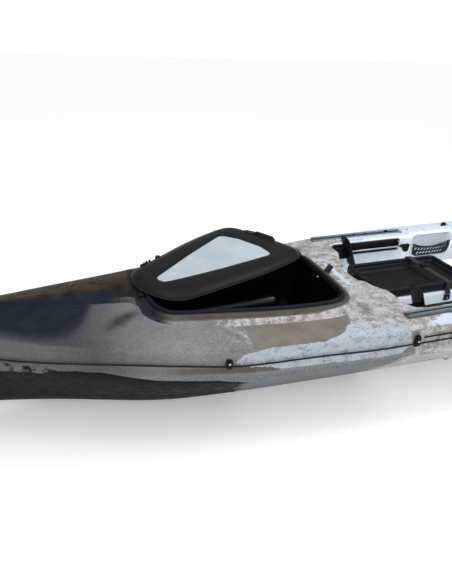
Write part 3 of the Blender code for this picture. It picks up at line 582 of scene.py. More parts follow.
def hull_material():
    """Speckled camouflage in rotomoulded plastic, with painted shade in some layers and a lighter white in the wells as
    painted light; the layers' places come from the mesh, their grain from noise.
    """
    mt, nt, b = node_material("hull_plastic", (.3, .28, .25), .5, Specular_IOR_Level=.035)
    t = Tree(nt)
    v = t.coord()
    grain = t.noise(420, 3, .7, v)
    grain2 = t.noise(170, 4, .7, v)
    mid = t.noise(34, 6, .62, v)
    blotch = t.noise(13, 5, .6, v)
    edge = t.math("ADD", t.math("MULTIPLY", t.math("SUBTRACT", mid, .5), .75),
                  t.math("MULTIPLY", t.math("SUBTRACT", grain2, .5), .30))
    soft = t.math("ADD", t.math("MULTIPLY", t.math("SUBTRACT", blotch, .5), .30),
                  t.math("ADD", t.math("MULTIPLY", t.math("SUBTRACT", grain2, .5), .75), t.math("MULTIPLY", t.math("SUBTRACT", mid, .5), .55)))

    def layer(name, lo, hi, jag):
        return t.step(t.math("ADD", t.attr(name), jag), lo, hi)

    spk = t.math("ADD", t.math("MULTIPLY", grain2, .75), t.math("MULTIPLY", mid, .25))
    col = t.mix(t.step(spk, .30, .70), (.150, .141, .129), (.255, .246, .234))
    grey_d = t.mix(t.step(spk, .30, .70), (.036, .040, .045), (.066, .071, .078))
    grey_l = t.mix(t.step(spk, .30, .70), (.196, .198, .198), (.300, .302, .302))
    grey = t.mix(t.attr("c_light"), grey_d, grey_l)
    col = t.mix(layer("c_grey", .25, .85, soft), col, grey)
    blue = t.mix(t.step(spk, .36, .64), (.088, .100, .106), (.205, .222, .240))
    col = t.mix(layer("c_blue", .38, .66, edge), col, blue)
    orange = t.mix(t.step(mid, .3, .7), (.440, .370, .310), (.600, .570, .540))
    col = t.mix(layer("c_orange", .20, .90, soft), col, orange)
    far = t.mix(t.step(t.math("ADD", blotch, t.math("MULTIPLY", grain, .3)), .45, .85), (.020, .012, .006), (.045, .034, .024))
    col = t.mix(layer("c_brown", .35, .65, edge), col, far)
    beige = t.mix(t.step(t.math("ADD", grain2, t.math("MULTIPLY", t.math("SUBTRACT", mid, .5), 1.1)), .30, .66), (.222, .196, .178), (.470, .462, .475))
    col = t.mix(layer("c_beige", .40, .66, edge), col, beige)
    flat = t.mix(t.step(blotch, .3, .7), (.158, .139, .115), (.200, .184, .164))
    col = t.mix(layer("c_smooth", .44, .54, edge), col, flat)
    bead = t.mix(t.step(blotch, .3, .7), (.074, .064, .053), (.108, .096, .082))
    col = t.mix(t.attr("c_bead"), col, bead)
    # navy paint; the same layer also carries painted shade in the bow recess and a painted shadow under the lid
    navy_and_shade = t.mix(t.step(t.math("ADD", blotch, t.math("MULTIPLY", grain, .35)), .50, .95), (.0100, .0140, .0220), (.0190, .0240, .0340))
    col = t.mix(layer("c_navy_and_shade", .15, .95, soft), col, navy_and_shade)
    # the darkest layer: a real dark stripe low on the bow, and also painted shade in the bow recess and in the gap
    # round the hatch tub
    dark = t.mix(t.step(grain, .40, .70), (.0045, .005, .007), (.0120, .0135, .0160))
    col = t.mix(layer("c_dark", .46, .56, edge), col, dark)
    white = t.mix(t.step(t.noise(60, 5, .6, v), .35, .65), (.450, .530, .630), (.560, .640, .730))
    # the wells get a much lighter white than the same white plastic on the deck: painted light over their shade
    white = t.mix(t.attr("c_lit_well"), white, (.860, .925, .970))
    ice = t.mix(t.step(t.math("ADD", grain2, t.math("MULTIPLY", t.math("SUBTRACT", mid, .5), .8)), .26, .56), (.215, .200, .185), (.400, .450, .505))
    col = t.mix(layer("c_ice", .46, .55, edge), col, ice)
    col = t.mix(layer("c_white", .46, .58, edge), col, white)
    t.link(col, b.inputs["Base Color"])
    rough = t.math("ADD", t.math("MULTIPLY", t.attr("c_smooth"), -.10), t.step(mid, .3, .7, .40, .56))
    t.link(rough, b.inputs["Roughness"])
    h = t.math("ADD", t.math("MULTIPLY", grain, .5), t.noise(55, 3, .5, v))
    t.link(t.bump(h, .0005, .55), b.inputs["Normal"])
    return mt


HULL = hull_material()
BLACK = plastic("black_plastic", (.0050, .0052, .0058), .44, peel=.00025, peel_scale=380, tint=.5, tone=(.0085, .0088, .0095), Specular_IOR_Level=.14)
LID = plastic("lid_plastic", (.0080, .0082, .0092), .42, peel=.00022, peel_scale=420, tint=.3, tone=(.0120, .0110, .0102), rough_var=.05, Specular_IOR_Level=.115)
LINER = plastic("liner_plastic", (.0012, .0012, .0014), .50, peel=.00010, peel_scale=60, tint=.4, tone=(.0018, .0018, .0020), rough_var=.03, Specular_IOR_Level=.12)
LINER_GLOSS = plastic("liner_gloss", (.0012, .0012, .0014), .34, peel=.00004, peel_scale=60, tint=.4, tone=(.0018, .0018, .0020), rough_var=.03, Specular_IOR_Level=.38)
GASKET = plastic("gasket_rubber", (.0045, .0060, .0115), .42, peel=.0002, peel_scale=300, tint=.4, tone=(.0070, .0090, .0160), Specular_IOR_Level=.13)
POD_IN = plastic("pod_plastic", (.0215, .0108, .0085), .50, peel=.0004, peel_scale=520, tint=.35, tone=(.0280, .0150, .0122), Specular_IOR_Level=.10)
POD_RIM = plastic("pod_rim_plastic", (.0050, .0058, .0080), .44, peel=.0003, peel_scale=420, tint=.4, tone=(.0080, .0088, .0115), Specular_IOR_Level=.13)


def pad_material():
    mt, nt, b = node_material("foam_pad", (.50, .58, .64), .62, Specular_IOR_Level=.15)
    t = Tree(nt)
    v = t.coord()
    cloth = t.n("ShaderNodeTexVoronoi")
    cloth.inputs["Scale"].default_value = 420
    t.link(v, cloth.inputs["Vector"])
    big = t.noise(7, 5, .6, v, .4)
    streak = t.noise(22, 5, .65, t.coord((.25, 1, 1)))
    c1 = t.mix(t.step(big, .35, .70), (.405, .465, .510), (.455, .520, .565))
    c2 = t.mix(t.step(streak, .52, .72, 0, .45), c1, (.540, .600, .640))
    t.link(c2, b.inputs["Base Color"])
    t.link(t.bump(cloth.outputs["Distance"], .0003, .5), b.inputs["Normal"])
    return mt


def metal_material(name="aluminium", rgb=(.50, .52, .55), rough=.34):
    mt, nt, b = node_material(name, rgb, rough, 1.0)
    t = Tree(nt)
    lines = t.noise(240, 3, .6, t.coord((.04, 1, 1)))
    t.link(t.mix(t.step(lines, .3, .7), tuple(c * .78 for c in rgb), tuple(min(1, c * 1.12) for c in rgb)), b.inputs["Base Color"])
    t.link(t.step(lines, .3, .7, rough - .07, rough + .10), b.inputs["Roughness"])
    t.link(t.bump(lines, .0001, .4), b.inputs["Normal"])
    return mt


def rope_material(name="rope", rgb=(.0050, .0055, .0070), tone=(.0220, .0240, .0300), pitch=170):
    """Braid: two crossed sets of strands, their crests painted lighter as a painted highlight and their grooves darker
    as painted shade.
    """
    mt, nt, b = node_material(name, rgb, .72, Specular_IOR_Level=.2)
    t = Tree(nt)
    v = t.coord((1, 1, 1))
    sep = t.n("ShaderNodeSeparateXYZ")
    t.link(v, sep.inputs[0])
    x = sep.outputs["X"]
    z = t.math("ADD", sep.outputs["Z"], sep.outputs["Y"])
    a = t.math("SINE", t.math("MULTIPLY", t.math("ADD", x, z), pitch * 6.283))
    c = t.math("SINE", t.math("MULTIPLY", t.math("SUBTRACT", x, z), pitch * 6.283))
    w = t.math("MAXIMUM", a, c)
    t.link(t.mix(t.step(w, -.2, .95), rgb, tone), b.inputs["Base Color"])
    t.link(t.bump(w, .0007, .8), b.inputs["Normal"])
    return mt


def web_material(name, rgb, tone, pitch=420, rough=.85, sheen=.15):
    """A plain weave seen along the two level axes and up the sides."""
    mt, nt, b = node_material(name, rgb, rough, 0.0, Sheen_Weight=sheen)
    t = Tree(nt)
    sep = t.n("ShaderNodeSeparateXYZ")
    t.link(t.coord(), sep.inputs[0])
    a = t.math("SINE", t.math("MULTIPLY", sep.outputs["X"], pitch * 6.283))
    u = t.math("ADD", sep.outputs["Y"], t.math("MULTIPLY", sep.outputs["Z"], 1.0))
    c = t.math("SINE", t.math("MULTIPLY", u, pitch * 6.283))
    w = t.math("MULTIPLY", a, c)
    n_ = t.noise(40, 4, .6)
    t.link(t.mix(t.math("MULTIPLY", t.step(w, -.7, .8), t.step(n_, .25, .75, .6, 1)), rgb, tone), b.inputs["Base Color"])
    t.link(t.bump(w, .0004, .7), b.inputs["Normal"])
    return mt


PAD = pad_material()
ALU = metal_material()
RAIL = metal_material("rail_metal", (.170, .202, .232), .50)
RAIL.node_tree.nodes["Principled BSDF"].inputs["Metallic"].default_value = .35
SCREW = metal_material("screw_metal", (.62, .62, .60), .26)
ROPE = rope_material()
WEB = web_material("webbing", (.0070, .0080, .0120), (.0200, .0220, .0300), 380, .85, .03)
MESH = web_material("mesh", (.0060, .0060, .0065), (.0140, .0145, .0160), 300, .75, .02)
SLING = web_material("sling_fabric", (.028, .030, .034), (.095, .100, .110), 260)
GRIP = plastic("grip_rubber", (.016, .016, .017), .55, peel=.0006, peel_scale=520, tint=.5)
FOAM_EDGE = plastic("pad_edge", (.030, .026, .022), .6)


# ---------------------------------------------------------------- hull
def dense_ring(s):
    P = section(s)
    low = [(p.x, p.y) for p in catmull([(a, b, 0) for a, b in P[:7]], 4)]
    mid = []
    for a, b in zip(P[6:10], P[7:11]):
        mid += [(a[0] + (b[0] - a[0]) * k / 2, a[1] + (b[1] - a[1]) * k / 2) for k in (1, 2)]
    top = [(p.x, p.y) for p in catmull([(a, b, 0) for a, b in P[10:14]], 7)][1:]
    half = low + mid + top + [P[14], ((P[14][0] + P[15][0]) / 2, P[15][1]), P[15]]
    return [(xs(s), y, z) for y, z in half] + [(xs(s), -y, z) for y, z in half[-2:0:-1]]


STATIONS = sorted(set([0, .008, .02, .035] + [round(.055 + .0235 * k, 4) for k in range(179) if .055 + .0235 * k < 4.235]
                      + [.772, .779, .786, .793, .80, 4.24, 4.255, 4.264, 4.27]))
hull = loft("hull_shell", [dense_ring(s) for s in STATIONS], HULL, ang=0)
CUTTERS = []


def cutter(ob, op="DIFFERENCE"):
    mo = hull.modifiers.new(op.lower(), "BOOLEAN")
    mo.operation = op
    mo.object = ob
    mo.solver = "EXACT"
    ob.hide_render = True
    CUTTERS.append(ob)
    return ob


def well(name, *levels):
    return cutter(loft("cut_" + name, [[(xs(s), y, z) for s, y in o] for o, z in levels], None, ang=0))


def sym(half):
    return half + [(s, -y) for s, y in half[-2:0:-1]]


def upper_outline(w=0.0):
    half = [(2.95, 0), (2.95, .24), (2.92, .285 + w), (2.86, WELL_SIDE + w), (1.75, WELL_SIDE + w), (1.708, .290 + w), (1.692, .262 + w * .5),
            (1.690, .172), (1.662, .118), (1.658, .080), (1.634, .066), (1.630, 0)]
    return fillet(sym(half), [0, .02, .03, .03, .03, .02, .03, .03, .02, .015, .015, 0] + [.015, .015, .02, .03, .03, .02, .03, .03, .03, .02], 4, True)


def tank_outline(w=0.0):
    half = [(3.80 + w, 0), (3.80 + w, .135), (3.765, .172 + w), (3.19, .262 + w), (3.145, .240 + w), (3.13 - w, .20),
            (3.13 - w, 0)]
    return fillet(sym(half), [0, .03, .03, .03, .03, .03, 0, .03, .03, .03, .03, .03], 4, True)


def blob(name, s, y, z, r, op="DIFFERENCE", rot=None):
    """An ellipsoid, to round a recess or a rib into the skin."""
    bm = bmesh.new()
    bmesh.ops.create_uvsphere(bm, u_segments=24, v_segments=14, radius=1.0, matrix=Matrix.Diagonal((*r, 1)))
    ob = from_bm(name, bm, None, 0)
    ob.location = (xs(s), y, z)
    if rot:
        ob.rotation_euler = rot
    return cutter(ob, op)


land = loft("add_land", stack([(.046, .345), (.046, .3712)], 80), None, ang=0)
cutter(land, "UNION")
well("cockpit", (upper_outline(), CONSOLE_TOP), (upper_outline(), .345), (upper_outline(.004), .355), (upper_outline(.009), .363),
     (upper_outline(.018), .3715), (upper_outline(.040), .380), (upper_outline(.041), .46))
for sg in (-1, 1):
    bed = rrect(1.638, 2.127, *sorted((sg * (RAIL_Y - .0190), sg * (RAIL_Y + .0190))), .004)
    well("rail%d" % sg, (bed, RAIL_BED), (bed, .466))
for sg in (-1, 1):
    def level(s0, s1, ya, yb, r):
        return rrect(s0, s1, *sorted((sg * ya, sg * yb)), r)
    well("foot%d" % sg, (level(1.740, 2.400, .150, .240, .035), FOOT_FLOOR), (level(1.725, 2.415, .143, .2875, .035), .165),
         (level(1.697, 2.470, .122, .312, .035), .461))
well("seat", (rrect(2.312, 2.895, -.282, .282, .04), SEAT_FLOOR), (rrect(2.300, 2.915, -.300, .300, .04), .462))
well("tank", (tank_outline(), TANK_FLOOR), (tank_outline(.018), .463))
for sg in (-1, 1):
    pk = box("cut_pocket%d" % sg, (2.182, min(sg * .27, sg * .332), .262), (2.392, max(sg * .27, sg * .332), .352), None, rnd=.014, seg=4)
    cutter(pk)
    # soft ribs moulded in the cockpit walls
    for s_, w_, zt in ((1.925, .030, .285), (2.005, .026, .285), (2.125, .022, .275)):
        blob("rib", s_, sg * .302, .19, (w_, .022, zt - .19), "UNION")
    # the scooped places above the side fittings
    for s_, w_ in ((1.026, .060), (1.662, .045), (2.93, .045)):
        blob("scoop", s_, sg * (float(at("B", s_)) + .010), float(at("C", s_)) - .020, (w_, .021, .024))
    blob("thumb", 1.578, sg * .245, .384, (.045, .035, .016), rot=(0, 0, sg * math.radians(-55)))
    hole = lathe("cut_rod", [(.029, -.20), (.029, .06)], (xs(ROD_S), sg * ROD_Y, ROD_Z),
                 axis=(math.sin(ROD_TILT), 0, math.cos(ROD_TILT)))
    cutter(hole)
    for s_, y_, zt in ((2.18, .225, .30), (3.45, .12, .30)):
        cutter(lathe("cut_scupper", [(.017, -.05), (.017, zt)], (xs(s_), sg * y_, 0)))
    for s0 in (2.4500, 2.6556):
        edge = float(at("B", s0 + .007))
        y0, y1 = sorted((sg * (edge - .012), sg * (edge + .0185)))
        cutter(box("add_lug", (s0, y0, .3315), (s0 + .0144, y1, .3510), None), "UNION")
well("hatch", (hatch(-.0185, 96), .140), (hatch(-.0185, 96), .42))

VOX = .0062
mo = hull.modifiers.new("skin", "REMESH")
mo.mode = "VOXEL"
mo.voxel_size = VOX
mo.adaptivity = 0.0
mo = hull.modifiers.new("soft", "SMOOTH")
mo.factor = .5
mo.iterations = 4
hull = bake(hull)
for c in CUTTERS:
    bpy.data.objects.remove(c, do_unlink=True)
smooth(hull, 0)


# ---------------------------------------------------------------- paint layers
def sm(x, a, b):
    t = np.clip((x - a) / (b - a), 0, 1)
    return t * t * (3 - 2 * t)


def band(x, a, b, w):
    """1 between a and b, fading over w on both sides."""
    return sm(x, a - w, a + w) * (1 - sm(x, b - w, b + w))


def spots(s, y, places):
    """Soft round weights: (s, y, radius along s, radius along y, strength)."""
    out = np.zeros_like(s)
    for ps, py, rs, ry, k in places:
        out = np.maximum(out, k * np.exp(-((s - ps) / rs) ** 2 - ((y - py) / ry) ** 2))
    return out


def paint(ob, surround=False):
    n = len(ob.data.vertices)
    co = np.empty(n * 3, np.float32)
    ob.data.vertices.foreach_get("co", co)
    co = co.reshape(-1, 3)
    s, y, z = co[:, 0] + LENGTH / 2, co[:, 1], co[:, 2]
    ay = np.abs(y)
    C, B, Z = at("C", s), at("B", s), at("Z", s)
    h = z - C
    dh = -outline_distance(np.stack([s, y], 1)) if surround else np.full(n, .5)
    if not surround:
        near_hatch = (s > .7) & (s < 1.75) & (z > .33)
        dh[near_hatch] = -outline_distance(np.stack([s[near_hatch], y[near_hatch]], 1))
    m_ = np.where(s > 2.9, LENGTH + .12 - s, s)          # the stern repeats the bow's scheme
    stern = s > 2.9
    t = np.clip(h / np.maximum(Z - C, .01), 0, 1.2)      # 0 at the deck edge, 1 at the ridge
    deck = sm(h, -.004, .006)
    side = 1 - deck
    ridge = at("R", s)
    in_recess = (ay < ridge * .94) & (s < .80) & (z > C)
    far = (y > 0) & ~stern
    wells = ((ay < WELL_SIDE + .012) & (s > 1.62) & (s < 2.97) & (z < at("Z", s) - .012) & (z > .05) & (h > -.4)
             & ((ay < .24) | (z > .085)) & (z > .08))
    wells &= ~((z < .089) & (ay < .29))
    wells &= ~((z < .125) & (ay > .26))
    tank = (ay < .29) & (s > 3.10) & (s < 3.83) & (z < at("Z", s) - .010) & (z > .17)

    near = 1 - far
    off_ridge = (ay > ridge * 1.02) | (m_ > .80)
    # the dark fore deck: solid up to a slanting edge, then fading into grain
    t0 = np.interp(m_, [.2, .38, .46, .54, .59, .63, .66, .70], [.34, .27, .20, .26, .50, .80, 1.15, 1.6])
    navy_and_shade = deck * sm(t, t0 - .34, t0 + .30) * off_ridge
    streak = np.exp(-(((m_ - .735) * .47 + (ay - .146) * .88) / .030) ** 2) * band(m_, .670, .790, .050)
    navy_and_shade = np.maximum(navy_and_shade, .72 * streak * deck)
    navy_and_shade = np.maximum(navy_and_shade, .50 * spots(m_, ay, [(.86, .165, .035, .020, 1), (.845, .205, .03, .02, .8)]) * deck)
    far_deck = (far & off_ridge) | ((far & (h > -.03)) & (m_ < .80))
    navy_and_shade = np.where(far_deck, 0, navy_and_shade)
    # inside the bow's centre recess the navy layer is laid on fully and fades toward the hatch: partly the navy of the
    # deck round it, partly painted shade in the channel
    navy_and_shade = np.where(in_recess, 1.05 - .48 * sm(m_, .62, .80), navy_and_shade)
    brown = np.where(far_deck, 1 - sm(m_, .98, 1.20), 0) * deck
    grey = (1 - sm(m_, .80, 1.12)) * np.where(deck > .5, 1, 1)
    grey = np.maximum(grey, .45 * (1 - sm(m_, 1.00, 1.25)))
    blue = sm(-h, .088, .096) * sm(m_, .66, .80) * (1 - sm(m_, 1.60, 1.80))
    orange = sm(-h, .070, .120) * sm(m_, 1.52, 1.72) * .85
    d0_ = np.interp(m_, [.2, .356, .418, .482, .510, .594, .653, .677, .736, .80, 1.0, 1.3], [.132, .125, .119, .112, .089, .085, .084, .089, .099, .110, .122, .20])
    dark = sm(-h, d0_ - .007, d0_ + .007) * (1 - sm(m_, .95, 1.25))
    dark = np.maximum(dark, .47 * sm(-h, .070, .082) * (1 - sm(m_, .50, .60)))
    # darker still toward the bow inside the recess: painted shade in the channel
    dark = np.maximum(dark, np.where(in_recess, .42 * (1 - sm(m_, .36, .60)), 0))
    # plain brown: a patch beside the hatch and a stripe under the side line
    right = np.interp(t, [-.2, -.05, .13, .36, .60, .78, .9], [1.315, 1.325, 1.341, 1.387, 1.415, 1.443, 1.46])
    smooth_ = sm(h, -.006, .001) * sm(m_, 1.075, 1.125) * (1 - sm(m_, right - .006, right + .006)) * (1 - sm(dh, .30, .34)) * sm(dh, .058, .064)
    ice_t = np.interp(m_, [1.30, 1.341, 1.387, 1.428, 1.493, 1.513, 1.549, 1.592, 1.613, 1.632], [-.15, .13, .36, .74, .82, .59, .75, .90, .63, -.4])
    ice = deck * sm(ice_t - t, -.10, .10) * band(m_, 1.30, 1.632, .010)
    e0 = np.interp(-h, [-.01, .02, .038, .063, .073, .085], [1.630, 1.635, 1.647, 1.655, 1.625, 1.605])
    e1 = np.interp(-h, [0, .02, .05, .070, .074, .086], [1.14, 1.08, 1.05, 1.08, 1.17, 1.185])
    ice = np.maximum(ice, side * (1 - sm(-h, .078, .086)) * sm(m_, e1 - .035, e1 + .035) * (1 - sm(m_, e0 - .010, e0 + .010)))
    a_ = np.interp(m_, [.9, 1.35, 1.44, 1.52], [.036, .034, .022, .018])
    ice = np.maximum(ice, spots(m_, ay, [(1.535, .215, .030, .030, .62), (1.60, .02, .035, .12, .50), (1.655, .27, .02, .03, .55)]) * deck)
    beige = deck * sm(m_, 1.38, 1.46) * (1 - sm(m_, 1.76, 1.86))
    beige = np.maximum(beige, side * sm(m_, 1.62, 1.70) * .80)
    beige = np.maximum(beige, .43 * band(m_, 1.00, 1.30, .08) * deck * sm(dh, .05, .07))
    beige = np.maximum(beige, sm(dh, a_ - .003, a_ + .003) * (1 - sm(dh, .061, .067)) * band(m_, .99, 1.60, .10) * .62)
    bead = sm(dh, -.02, .0) * (1 - sm(dh, a_ - .004, a_ + .004)) * (1 if surround else 0)
    bead = np.maximum(bead, .85 * band(h, -.088, -.066, .004) * sm(m_, .78, .95) * (1 - sm(m_, 1.175, 1.195)))
    bead = np.maximum(bead, 1.0 * band(dh, a_ - .010, a_ - .004, .002) * (1 if surround else 0))
    bead = np.maximum(bead, .70 * spots(m_, ay, [(1.540, .262, .020, .035, 1)]) * deck)
    white = np.where(wells | tank, 1.0, 0.0)
    white = np.maximum(white, deck * sm(m_, 1.76, 1.86) * .95)
    white = np.maximum(white, spots(m_, ay, [(1.580, .02, .024, .16, .72), (1.78, .390, .085, .030, .85)]) * deck)
    white = np.maximum(white, side * sm(m_, 1.95, 2.25) * (.35 + .30 * np.sin(m_ * 9) * np.sin(m_ * 23 + 1)))
    pocket = (s > 2.16) & (s < 2.41) & (ay > .26) & (ay < .345) & (z > .245) & (z < at("Z", s) - .006)
    white = np.where(pocket, 1.0, white)
    # wells, tank well and pockets marked for that lighter white: painted light for their shade
    lit_well = np.where(wells | tank | pocket, 1.0, 0.0)
    light = np.interp(m_, [.45, .60, .72, .86, 1.05], [.0, .05, .42, .80, 1.0]) * np.interp(h, [-.09, -.03, .0, .02], [.75, .9, 1.0, .95])
    light = np.maximum(light, .30 * side * (1 - sm(m_, .5, .8)))
    light = light * (1 - .35 * band(t, .0, .30, .1) * (1 - sm(m_, .6, .8)) * deck)
    # the cut walls inside the hatch opening, seen only in the gap round the tub, painted fully dark: painted shade in
    # that gap
    dark = np.where((dh < -.0105) & (z > .25) & (z < .4), 1.0, dark)
    if surround:
        white = white * sm(dh, .020, .030)
        grey = grey * 1.0
        # at the surround's fore end, where the lid lies close above it, the navy layer is laid on at .85 as a painted
        # shadow of the lid
        navy_and_shade = np.maximum(navy_and_shade * sm(dh, .03, .06), .85 * (1 - sm(m_, .84, .90)))
        bead = bead * (1 - .0 * navy_and_shade)
    for name, w in (("c_navy_and_shade", navy_and_shade), ("c_grey", grey), ("c_dark", dark), ("c_smooth", smooth_), ("c_ice", ice), ("c_bead", bead),
                    ("c_beige", beige), ("c_white", white), ("c_blue", blue), ("c_orange", orange), ("c_brown", brown),
                    ("c_lit_well", lit_well), ("c_light", light)):
        a = ob.data.attributes.new(name, "FLOAT", "POINT")
        a.data.foreach_set("value", np.clip(w, 0, 1).astype(np.float32))
    return ob


paint(hull)
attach(hull, "hull")
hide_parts("hull")

prof = fillet([(-.0165, .3350), (-.0185, .3755), (-.0160, .3764), (-.0020, .3764), (.0010, .3738), (.0035, .3738), (.0065, .3782),
               (.0130, .3778), (.0165, .3736), (.0205, .3722), (.0235, .3738), (.0300, .3748), (.0430, .3740), (.0500, .3708),
               (.0560, .3630), (.0600, .3520), (.0600, .3400), (.0450, .3350)],
              [.001, .001, .001, .002, .0015, .0015, .003, .003, .002, .002, .003, .01, .01, .008, .006, 0, 0, 0], 3)
surround = loft("hatch_surround", stack([(o, z) for o, z in prof], 200), HULL, closed=True, ang=50)
paint(surround, True)
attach(surround, "hull")

HULL_WHITE = plastic("hull_white", (.70, .79, .88), .50, peel=.0004, peel_scale=420, tint=.12)


# ---------------------------------------------------------------- front hatch
def put(piece, body, slot, *nodes):
    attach(piece, body)
    if nodes:
        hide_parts(*nodes)
    return piece


def screw(name, at_, axis, r=.0036, mat=None):
    """A pan head with a cross recess cut in it."""
    head = lathe(name, [(r * .98, -.0012), (r, 0), (r * .97, r * .18), (r * .80, r * .38), (r * .45, r * .50), (r * .12, r * .52)],
                 (0, 0, 0), mat or SCREW, 20)
    mo = head.modifiers.new("recess", "BOOLEAN")
    arms = []
    for a in (0, 90):
        arms.append(box("arm", (LENGTH / 2 - r * .62, -r * .13, r * .22), (LENGTH / 2 + r * .62, r * .13, r * .9), None))
        arms[-1].rotation_euler = (0, 0, math.radians(a))
    cross = join("cross", [arms[0]])
    cross2 = join("cross2", [arms[1]])
    mo.object = cross
    m2 = head.modifiers.new("recess2", "BOOLEAN")
    m2.object = cross2
    head = bake(head)
    bpy.data.objects.remove(cross, do_unlink=True)
    bpy.data.objects.remove(cross2, do_unlink=True)
    q = Vector((0, 0, 1)).rotation_difference(Vector(axis).normalized())
    head.data.transform(Matrix.Translation(Vector(at_)) @ q.to_matrix().to_4x4())
    return head


def turned_lid(ob):
    """Carry a piece drawn in the lid's closed place to where the open lid lies."""
    ob = bake(ob)
    px_ = Vector((xs(LID_PIVOT_S), 0, 0))
    ob.data.transform(Matrix.Translation(px_) @ Matrix.Rotation(LID_SWING, 4, "Z") @ Matrix.Translation(-px_))
    return ob


tub_levels = [(-.0720, .1505), (-.0600, .1530), (-.0500, .1590), (-.0430, .1690), (-.0395, .1830), (-.0330, .2400), (-.0275, .3000),
              (-.0242, .3400), (-.0210, .3780), (-.0232, .3780), (-.0265, .3400), (-.0300, .3000), (-.0355, .2400),
              (-.0420, .1850), (-.0460, .1735), (-.0530, .1630), (-.0620, .1575), (-.0720, .1555)]
tub = loft("hatch_liner_tub", stack(tub_levels, 160), LINER, ang=60)
# the moulded hump over the keelson, and a ledge a battery tray rests on
hump = bevel(box("tub_hump", (1.005, .074, .1530), (1.3850, .140, .2500), LINER_GLOSS), .032, 8)
ledge_b = bevel(box("tub_ledge_b", (1.060, -.132, .1530), (1.385, -.094, .1760), LINER), .010, 4)
put(join("hatch_tub", [tub, hump, ledge_b]), "hull", "liner_plastic", "hatch_liner_tub")

g_prof = fillet([(-.0150, COAMING_TOP + .0003), (-.0022, COAMING_TOP + .0003), (.0004, COAMING_TOP + .0030), (-.0006, GASKET_TOP - .0034),
                 (-.0042, GASKET_TOP - .0003), (-.0100, GASKET_TOP + .0001), (-.0146, GASKET_TOP - .0020), (-.0160, COAMING_TOP + .0045)],
                .0018, 3, True)
put(loft("hatch_gasket_seal", stack(g_prof, 240), GASKET, closed=True, ang=70), "hull", "gasket_rubber", "hatch_gasket")

Z0, Z1 = LID_BOTTOM, LID_BOTTOM + LID_THICK
# the pad's outline: three long sides and rounded corners, in the lid's closed place
pad_line = fillet([(.899, -.024), (.899, .024), (1.130, .088), (1.372, .143), (1.398, .060), (1.398, -.060), (1.372, -.143), (1.130, -.088)],
                  [.022, .022, .55, .030, .050, .050, .030, .55], 7, True)
pad_line = even([(a, b, 0) for a, b in pad_line], 144, True)
mid_ = Vector((1.20, 0, 0))


def pad_ring(d, z):
    """The pad's outline moved out by d; far inside it is drawn to the middle instead."""
    out = []
    n = len(pad_line)
    for i in range(n):
        if d < -.013:
            k = 1 + d / .13
            p = mid_ + (pad_line[i] - mid_) * k
        else:
            t = (pad_line[(i + 1) % n] - pad_line[i - 1]).normalized()
            nrm = Vector((t.y, -t.x, 0))
            if nrm.dot(pad_line[i] - mid_) < 0:
                nrm = -nrm
            p = pad_line[i] + nrm * d
        out.append((xs(p.x), p.y, z))
    return out


def lid_ring(o, z, k=0.0):
    """A lid outline, or with k a step from it toward the pad's edge."""
    L = [Vector((s, y, 0)) for s, y in hatch(o, 144)]
    if not k:
        return [(xs(p.x), p.y, z) for p in L]
    out = []
    for p in L:
        d = (p - mid_).normalized()
        best = None
        n = len(pad_line)
        for i in range(n):
            a, b_ = pad_line[i] - mid_, pad_line[(i + 1) % n] - mid_
            e = b_ - a
            den = d.x * e.y - d.y * e.x
            if abs(den) < 1e-12:
                continue
            r = (a.x * e.y - a.y * e.x) / den
            q = (a.x * d.y - a.y * d.x) / den
            if r > 0 and -1e-6 <= q <= 1 + 1e-6:
                best = r
                break
        q = mid_ + d * (best + .0016)
        v = q + (p - q) * (1 - k)
        out.append((xs(v.x), v.y, z))
    return out


def lid_level(o, z, dome=0.0):
    return [(xs(s), y, z) for s, y in hatch(o, 144)]


def inward(k, z):
    a = lid_ring(-.050, z, 1.0)
    c_ = (xs(mid_.x), mid_.y, z)
    return [tuple(c_[i] + (p[i] - c_[i]) * k for i in range(3)) for p in a]


rings = [inward(.55, Z1 - .0062), lid_ring(-.050, Z1 - .0062, 1.0), lid_ring(-.050, Z1 - .0028, .995), lid_ring(-.050, Z1 - .0012, .975),
         lid_ring(-.050, Z1 + .0002, .92), lid_ring(-.050, Z1 + .0012, .75), lid_ring(-.050, Z1 + .0018, .40)]
rings += [lid_level(o, z) for o, z in (
    (-.050, Z1 + .0016), (-.043, Z1 + .0011), (-.035, Z1 + .0002), (-.027, Z1 - .0018), (-.019, Z1 - .0048), (-.0115, Z1 - .0086),
    (-.0060, Z1 - .0124), (-.0034, Z1 - .0150), (-.0036, Z1 - .0160), (-.0016, Z1 - .0166), (.0030, Z1 - .0170), (.0048, Z1 - .0180),
    (.0046, Z1 - .0198), (.0030, Z1 - .0212), (.0008, Z1 - .0223), (-.0012, Z0 + .0004), (-.0060, Z0 + .0002), (-.0230, Z0 + .0002),
    (-.0262, Z0 + .0020), (-.0290, Z0 + .0080), (-.0330, Z0 + .0102), (-.070, Z0 + .0110))]
rings += [inward(.55, Z0 + .0110)]
shell = loft("lid_shell", rings, LID, ang=38)
lid_bits = [shell]
for s0, s1, w in ((.93, .955, .095), (1.12, 1.145, .135), (1.31, 1.335, .160)):
    lid_bits.append(bevel(box("lid_rib", (s0, -w, Z0 + .0030), (s1, w, Z0 + .0120), LID), .004, 2))
lid_bits.append(bevel(box("lid_spine", (.90, -.012, Z0 + .0035), (1.43, .012, Z0 + .0120), LID), .004, 2))
